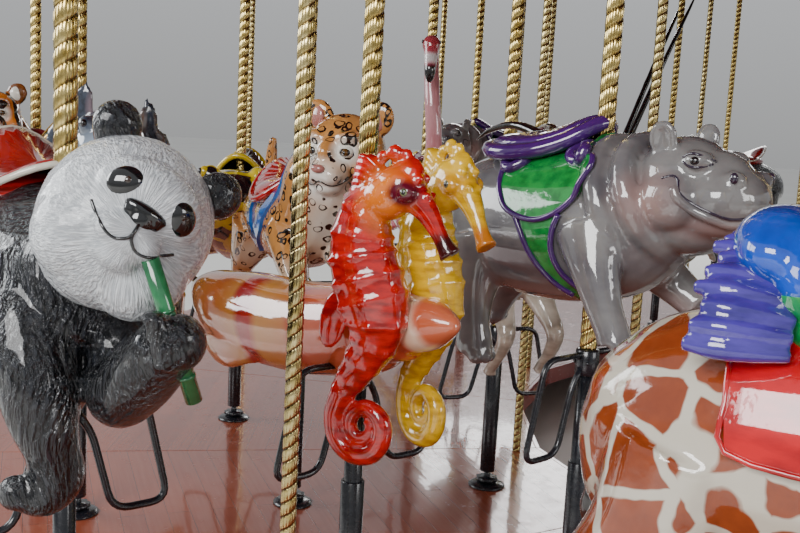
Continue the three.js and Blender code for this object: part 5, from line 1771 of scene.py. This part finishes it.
def roof_cloth():
    cloth = bmesh.new()
    sheet_map = cloth.loops.layers.uv.new("canvas")
    rings = []
    for step in range(SLOPE_STEPS + 1):
        rings.append([cloth.verts.new(cloth_point(
            section, share / GORE_STEPS, step / SLOPE_STEPS)) for section in range(
                SECTIONS) for share in range(GORE_STEPS)])
    count = SECTIONS * GORE_STEPS
    for step in range(SLOPE_STEPS):
        for index in range(count):
            after = (index + 1) % count
            face = cloth.faces.new([rings[step][index], rings[step + 1][index], rings[step + 1][after],
                                    rings[step][after]])
            spots = [(index, step), (index, step + 1), (index + 1, step + 1), (index + 1, step)]
            for loop, (turn, fall) in zip(face.loops, spots):
                loop[sheet_map].uv = (turn * 0.2, fall * 0.2)
    bmesh.ops.recalc_face_normals(cloth, faces=cloth.faces)
    if cloth.faces[0].normal.z < 0:
        bmesh.ops.reverse_faces(cloth, faces=cloth.faces)
    piece = mesh_object("roof_cloth", cloth, canvas_finish())
    wall = piece.modifiers.new("cloth", "SOLIDIFY")
    wall.thickness = CLOTH_THICK
    wall.offset = -1
    applied(piece)
    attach(piece, "platform")
    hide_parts("canopy")
    return piece


def roof():
    ribs, seams, rafters, eave = bmesh.new(), bmesh.new(), bmesh.new(), bmesh.new()
    for section in range(SECTIONS):
        first = corner_angle(section)
        rod_along(ribs, [cloth_point(section, 0, 0.01, 0.006), cloth_point(section, 0, 0.994, 0.006)],
                  0.013, 8)
        for share in (1 / 3, 2 / 3):
            rod_along(seams, [cloth_point(section, share, step / 12, 0.0015) for step in range(13)], 0.0045,
                      6)
        beam_top, beam_foot = polar(RAFTER_TOP[0], first, RAFTER_TOP[1]), polar(
            RAFTER_FOOT[0], first, RAFTER_FOOT[1])
        along = (beam_foot - beam_top).normalized()
        side = Vector((0, 0, 1)).cross(along).normalized() * 0.022
        drop = Vector((0, 0, -0.085))
        corners = [beam_top - side, beam_foot - side, beam_foot - side + drop, beam_top - side + drop]
        prism(rafters, corners, side * 2, 0.003)
        for share in (0.35, 0.7):
            spot = beam_top.lerp(beam_foot, share) + Vector((0, 0, -0.075))
            other = Matrix.Rotation(math.radians(SECTION_ANGLE), 4, "Z") @ spot
            rod_along(rafters, [spot, other], 0.02, 6)
        sector(eave, BOARD_R - 0.035, EAVE_R - 0.004, first, first + SECTION_ANGLE, BOARD_TOP,
               BOARD_TOP + 0.014, 0.002)
    spun(ribs, [(0, APEX_Z - 0.03), (APEX_R + 0.015, APEX_Z - 0.03), (APEX_R + 0.02, APEX_Z - 0.008),
                (APEX_R, APEX_Z), (0, APEX_Z)], 36)
    cloth = roof_cloth()
    fixed("roof_battens", ribs, CREAM_BOARD, "platform", smooth=True)
    thread = plain_paint("roof_thread", "6E1519", "52100F", scale=20.0, gloss=0.6, dull=0.8, coat=0.0)
    stitching = fixed("roof_seams", seams, thread, "platform", smooth=True)
    beams = fixed("roof_rafters", rafters, CREAM_BOARD, "platform")
    fixed("roof_eave", eave, GILT, "platform")


# The finial's radius and its rise over the apex, and the two stretches that carry flutes
CROWN_PROFILE = ((0, 0), (0.378, 0), (0.38, 0.018), (0.352, 0.032), (0.357, 0.075), (0.33, 0.095),
                 (0.235, 0.135), (0.172, 0.195), (0.158, 0.228), (0.175, 0.24), (0.19, 0.27), (0.188, 0.3),
                 (0.15, 0.322), (0.08, 0.34), (0.052, 0.372), (0.06, 0.392), (0.04, 0.412), (0.012, 0.452),
                 (0, 0.469))
CROWN_FLUTES = ((0.1, 0.225), (0.245, 0.315))


def crown():
    bm = bmesh.new()
    spun(bm, [(radius, APEX_Z + rise) for radius, rise in CROWN_PROFILE], 72)
    for vert in bm.verts:
        if any(low < vert.co.z - APEX_Z < high for low, high in CROWN_FLUTES):
            lobe = 1 - 0.045 * abs(math.sin(9 * math.atan2(vert.co.y, vert.co.x)))
            vert.co.x *= lobe
            vert.co.y *= lobe
    fixed("crown_finial", bm, GILT, "platform", "crown", smooth=True)


def sweep_bank(bank):
    bm = bmesh.new()
    reach = DECK_OUTER_R - 0.06 - HUB_R
    middle = HUB_R + reach / 2
    for index in range(3):
        first = corner_angle(bank * 3 + index)
        for inner, outer in SWEEP_RIMS:
            for low, high in ((SWEEP_BOTTOM, SWEEP_BOTTOM + PLATE), (SWEEP_TOP - PLATE, SWEEP_TOP)):
                sector(bm, inner, outer, first, first + SECTION_ANGLE, low, high, 0.0015)
            sector(bm, inner + 0.03, inner + 0.05, first, first + SECTION_ANGLE, SWEEP_BOTTOM + 0.006,
                   SWEEP_TOP - 0.006, 0.0)
        angle = first + SECTION_ANGLE / 2
        for wide, low, high in ((0.08, 0.0, 0.012), (0.014, 0.006, 0.114), (0.08, 0.108, 0.12)):
            box(bm, polar(middle, angle, SWEEP_BOTTOM + (low + high) / 2), (reach, wide, high - low), angle,
                0.001)
        for station in range(9):
            radius = HUB_R + 0.25 + station * 0.52
            box(bm, polar(radius, angle, SWEEP_BOTTOM + 0.06), (0.008, 0.074, 0.104), angle, 0.001)
    for ride in RIDES:
        radius, angle, _ = RIDES[ride]
        turn = (angle - CORNER_PHASE) % 360
        if int(turn // (3 * SECTION_ANGLE)) != bank:
            continue
        half = max(0.15,
                   radius * math.sin(math.radians(abs(turn % SECTION_ANGLE - SECTION_ANGLE / 2) + 1.5)))
        for side in (-1, 1):
            box(bm, polar(radius + side * 0.045, angle, SWEEP_BOTTOM + 0.035), (0.028, 2 * half, 0.068),
                angle, 0.002)
        sleeve = bmesh.new()
        spun(sleeve, [(0.0275, -0.012), (0.044, -0.012), (0.046, -0.008), (0.046, 0.074), (0.042, 0.08),
                      (0.0275, 0.08), (0.0275, -0.012)], 20)
        poured(bm, sleeve, Matrix.Translation(polar(radius, angle, SWEEP_BOTTOM)))
    bmesh.ops.remove_doubles(bm, verts=bm.verts, dist=1e-5)
    bmesh.ops.recalc_face_normals(bm, faces=bm.faces)
    fixed("sweep_steel_%d" % (bank + 1), bm, STEEL, "platform", "sweep_bank_%d" % (bank + 1))


def hub_and_post():
    hub = bmesh.new()
    spun(hub, [(0.156, HUB_BOTTOM), (HUB_R, HUB_BOTTOM), (HUB_R, HUB_BOTTOM + 0.022),
               (0.41, HUB_BOTTOM + 0.03), (0.41, HUB_TOP - 0.03), (HUB_R, HUB_TOP - 0.022),
               (HUB_R, HUB_TOP - 0.001), (0.156, HUB_TOP - 0.001), (0.156, HUB_BOTTOM)], 48)
    for section in range(SECTIONS):
        angle = corner_angle(section + 0.5)
        box(hub, polar(0.43, angle + 10, (HUB_BOTTOM + HUB_TOP) / 2), (0.04, 0.012, 0.18), angle + 10,
            0.001)
        bmesh.ops.create_cone(hub, cap_ends=True, segments=6, radius1=0.014, radius2=0.014, depth=0.012,
                              matrix=Matrix.Translation(polar(0.4, angle, HUB_TOP + 0.003)))
    closed(hub)
    fixed("hub_casting", hub, STEEL, "platform", "sweep_hub", smooth=True)
    post = bmesh.new()
    spun(post, [(0, HUB_TOP), (0.33, HUB_TOP), (0.33, HUB_TOP + 0.036), (0.13, HUB_TOP + 0.046),
                (0.11, HUB_TOP + 0.075), (0.11, POST_TOP - 0.16), (0.135, POST_TOP - 0.15),
                (0.135, POST_TOP - 0.06), (0.378, POST_TOP - 0.042), (0.38, POST_TOP - 0.001),
                (0, POST_TOP - 0.001)], 36)
    for arm in range(6):
        box(post, polar(0.2, arm * 60, HUB_TOP + 0.11), (0.18, 0.014, 0.15), arm * 60, 0.002)
    closed(post)
    fixed("post_casting", post, STEEL, "platform", "king_post", smooth=True)


def centre():
    mast = bmesh.new()
    foot = HOUSING_FOOT
    spun(mast, [(0, foot + 0.001), (0.214, foot + 0.001), (0.214, foot + 0.058), (0.165, foot + 0.066),
                (0.15, foot + 0.095), (0.15, 3.165), (0.165, 3.175), (0.214, 3.192), (0.214, 3.249),
                (0.15, 3.249), (0.15, 3.438), (0, 3.438)], 40)
    for bolt in range(12):
        bmesh.ops.create_cone(mast, cap_ends=True, segments=6, radius1=0.012, radius2=0.012, depth=0.014,
                              matrix=Matrix.Translation(polar(0.188, bolt * 30, foot + 0.064)))
    closed(mast)
    fixed("mast_column", mast, STEEL, "centre", "centre_mast", smooth=True)
    base = bmesh.new()
    spun(base, [(0, 0.0), (0.36, 0.0), (0.36, 0.15), (0.35, 0.159), (0, 0.159)], 36)
    for arm in range(6):
        angle = arm * 60
        for wide, low, high in ((0.16, 0.042, 0.06), (0.03, 0.055, 0.145), (0.16, 0.141, 0.159)):
            box(base, polar(0.8, angle, (low + high) / 2), (1.595, wide, high - low), angle, 0.002)
        for station in range(4):
            box(base, polar(0.55 + station * 0.3, angle, 0.1), (0.012, 0.15, 0.084), angle, 0.001)
        pad = bmesh.new()
        spun(pad, [(0, 0.0), (0.146, 0.0), (0.147, 0.01), (0.132, 0.036), (0.07, 0.044), (0, 0.044)], 28)
        poured(base, pad, Matrix.Translation(polar(PAD_REACH, angle)))
    bmesh.ops.remove_doubles(base, verts=base.verts, dist=1e-5)
    bmesh.ops.recalc_face_normals(base, faces=base.faces)
    fixed("base_steel", base, STEEL, "centre", "base_frame")
    wall, frames, glass, lower = (bmesh.new() for _ in range(4))
    height = HOUSING_TOP - HOUSING_FOOT
    half = facet_half(HOUSING_R)
    for section in range(SECTIONS):
        first = corner_angle(section)
        sector(wall, HOUSING_R - WALL_BACK, HOUSING_FACE, first, first + SECTION_ANGLE,
               HOUSING_FOOT + 0.001, HOUSING_TOP, 0.001)
        box(frames, polar(HOUSING_R - 0.008, first, HOUSING_FOOT + height / 2),
            (0.018, 0.04, height - 0.002), first, 0.004)
        place = facet_place(section, HOUSING_FACE, HOUSING_FOOT)

        def gilding(bm):
            for low, high in MIRROR_HEIGHTS:
                bead_frame(bm, 0, (low + high) / 2, half * 2 - 0.075, high - low, 0.006, 0.005)
            for lift in RAIL_HEIGHTS:
                slab(bm, 0, lift + 0.01, half * 2 - 0.045, 0.034, 0.011)

        on_facet(frames, place, gilding)
        on_facet(glass, place, lambda bm: [slab(
            bm, 0, (low + high) / 2, half * 2 - 0.08, high - low - 0.01, 0.004) for low,
                                           high in MIRROR_HEIGHTS])
        on_facet(lower, place, lambda bm: slab(bm, 0, 0.45, half * 2 - 0.075, 0.7, 0.008, edge=0.005))
    fixed("housing_wall", wall, CREAM_BOARD, "centre", "centre_housing")
    fixed("housing_frames", frames, GILT, "centre")
    fixed("housing_mirrors", glass, MIRROR, "centre")
    fixed("housing_dado", lower, GREEN_BOARD, "centre")
    cornice = bmesh.new()
    for section in range(SECTIONS):
        first = corner_angle(section)
        for outer, low, high in ((0.812, 0.001, 0.03), (0.828, 0.03, 0.066), (CORNICE_R, 0.066, 0.109)):
            sector(cornice, HOUSING_R - WALL_BACK, outer, first, first + SECTION_ANGLE, HOUSING_TOP + low,
                   HOUSING_TOP + high, 0.003)
    fixed("cornice_moulding", cornice, RED_BOARD, "centre", "housing_cornice")


def fascia_band(name, inner, outer, replaced):
    bm = bmesh.new()
    for section in range(SECTIONS):
        first = corner_angle(section)
        sector(bm, inner, outer, first + 0.02, first + SECTION_ANGLE - 0.02, DECK_TOP - 0.1,
               DECK_TOP - 0.0005, 0.0025)
    fixed(name, bm, RED_BOARD, "platform", replaced)


def section_numbers():
    """Plain painted section numbers on the inner band, one to each facet."""
    cream = plain_paint("number_cream", "E2C9A8", "D2B490", scale=20.0, gloss=0.2, dull=0.35, coat=0.3)
    numbers = []
    for section in range(SECTIONS):
        curve = bpy.data.curves.new("number", "FONT")
        curve.body = str(section + 1)
        curve.size = 0.075
        curve.extrude = 0.0008
        curve.align_x = "CENTER"
        lettering = bpy.data.objects.new("number", curve)
        bpy.context.scene.collection.objects.link(lettering)
        graph = bpy.context.evaluated_depsgraph_get()
        mesh = bpy.data.meshes.new_from_object(lettering.evaluated_get(graph))
        bpy.data.objects.remove(lettering)
        middle = corner_angle(section + 0.5)
        flat = facet_reach(DECK_INNER_R)
        stand = Matrix.Rotation(math.radians(middle - 90), 4, "Z") @ Matrix.Rotation(
            math.radians(90), 4, "X")
        mesh.transform(Matrix.Translation(polar(flat - 0.0008, middle, DECK_TOP - 0.078)) @ stand)
        mesh.materials.clear()
        mesh.materials.append(cream)
        numbers.append(bpy.data.objects.new("number", mesh))
    whole = joined("section_numbers", numbers)
    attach(whole, "platform")


rounding_boards()
roof()
crown()
for bank_number in range(6):
    sweep_bank(bank_number)
hub_and_post()
centre()
fascia_band("inner_band", DECK_INNER_R, DECK_INNER_R + BAND_THICK, "inner_fascia")
fascia_band("outer_band", DECK_OUTER_R - BAND_THICK, DECK_OUTER_R, "outer_fascia")
section_numbers()

# The rides past the photo keep this share of a figure's faces
FAR_SHARE = 0.35


def thinned(piece, share):
    thin = piece.modifiers.new("thin", "DECIMATE")
    thin.ratio = share
    applied(piece)
    piece.data.shade_smooth()


FIGURES = (
    (leopard, ["leopard", "side_leopard"]),
    (tiger, ["tiger", "near_tiger"]),
    (oryx, ["oryx"]),
    (oryx, ["far_oryx"]),
    (frog, ["frog", "far_frog"]),
    (flamingo, ["flamingo"]),
    (elephant, ["elephant", "side_elephant"]),
    (hippo, ["hippo", "far_hippo", "near_hippo"]),
    (giraffe, ["giraffe", "side_giraffe"]),
    (panda, ["panda", "far_panda"]),
    (seahorses, ["seahorses", "side_seahorses"]),
)
for sculpt, uses in FIGURES:
    first = sculpt(uses[0])
    first.name = uses[-1] + "_shape"
    for ride_name in uses:
        shape = first
        if ride_name != uses[-1]:
            shape = bpy.data.objects.new(ride_name + "_shape", first.data.copy())
            bpy.context.scene.collection.objects.link(shape)
        node_name = ride_name + "_figure"
        if node_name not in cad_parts:
            node_name = ride_name + "_ride"
            thinned(shape, FAR_SHARE)
        placed(shape, ride_name)
        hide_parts(node_name)

photo_camera()
studio()
for bank_number in range(6):
    deck_bank(bank_number)
for ride_name in RIDES:
    floor_tube(ride_name)
    pole_fittings(ride_name)
    brass = brass_pole(ride_name)
    if ride_name + "_pole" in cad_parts:
        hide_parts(ride_name + "_pole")
for corner in range(SECTIONS):
    guide_rod(HANGER_R, DECK_TOP, SWEEP_BOTTOM + 0.01, HANGER_PITCH, 8,
              polar(INNER_HANGER_R, corner_angle(corner) + HANGER_OFFSET),
              "inner_hanger_%02d" % (corner + 1), HANGER_BRASS, "platform")
for corner in range(6):
    guide_rod(HANGER_R, DECK_TOP, SWEEP_BOTTOM + 0.01, HANGER_PITCH, 12,
              polar(MID_HANGER_R, MID_HANGER_PHASE + corner * 60), "mid_hanger_%d" % (corner + 1),
              HANGER_BRASS, "platform")

floor = bmesh.new()
bmesh.ops.create_grid(floor, x_segments=1, y_segments=1, size=60.0, matrix=Matrix.Translation((0, 0, 0)))
FLOOR = plain_paint("studio_floor", "D9D8D4", "D2D1CD", scale=0.4, gloss=0.7, dull=0.8, coat=0.0)
mesh_object("studio_floor", floor, FLOOR, smooth=False)
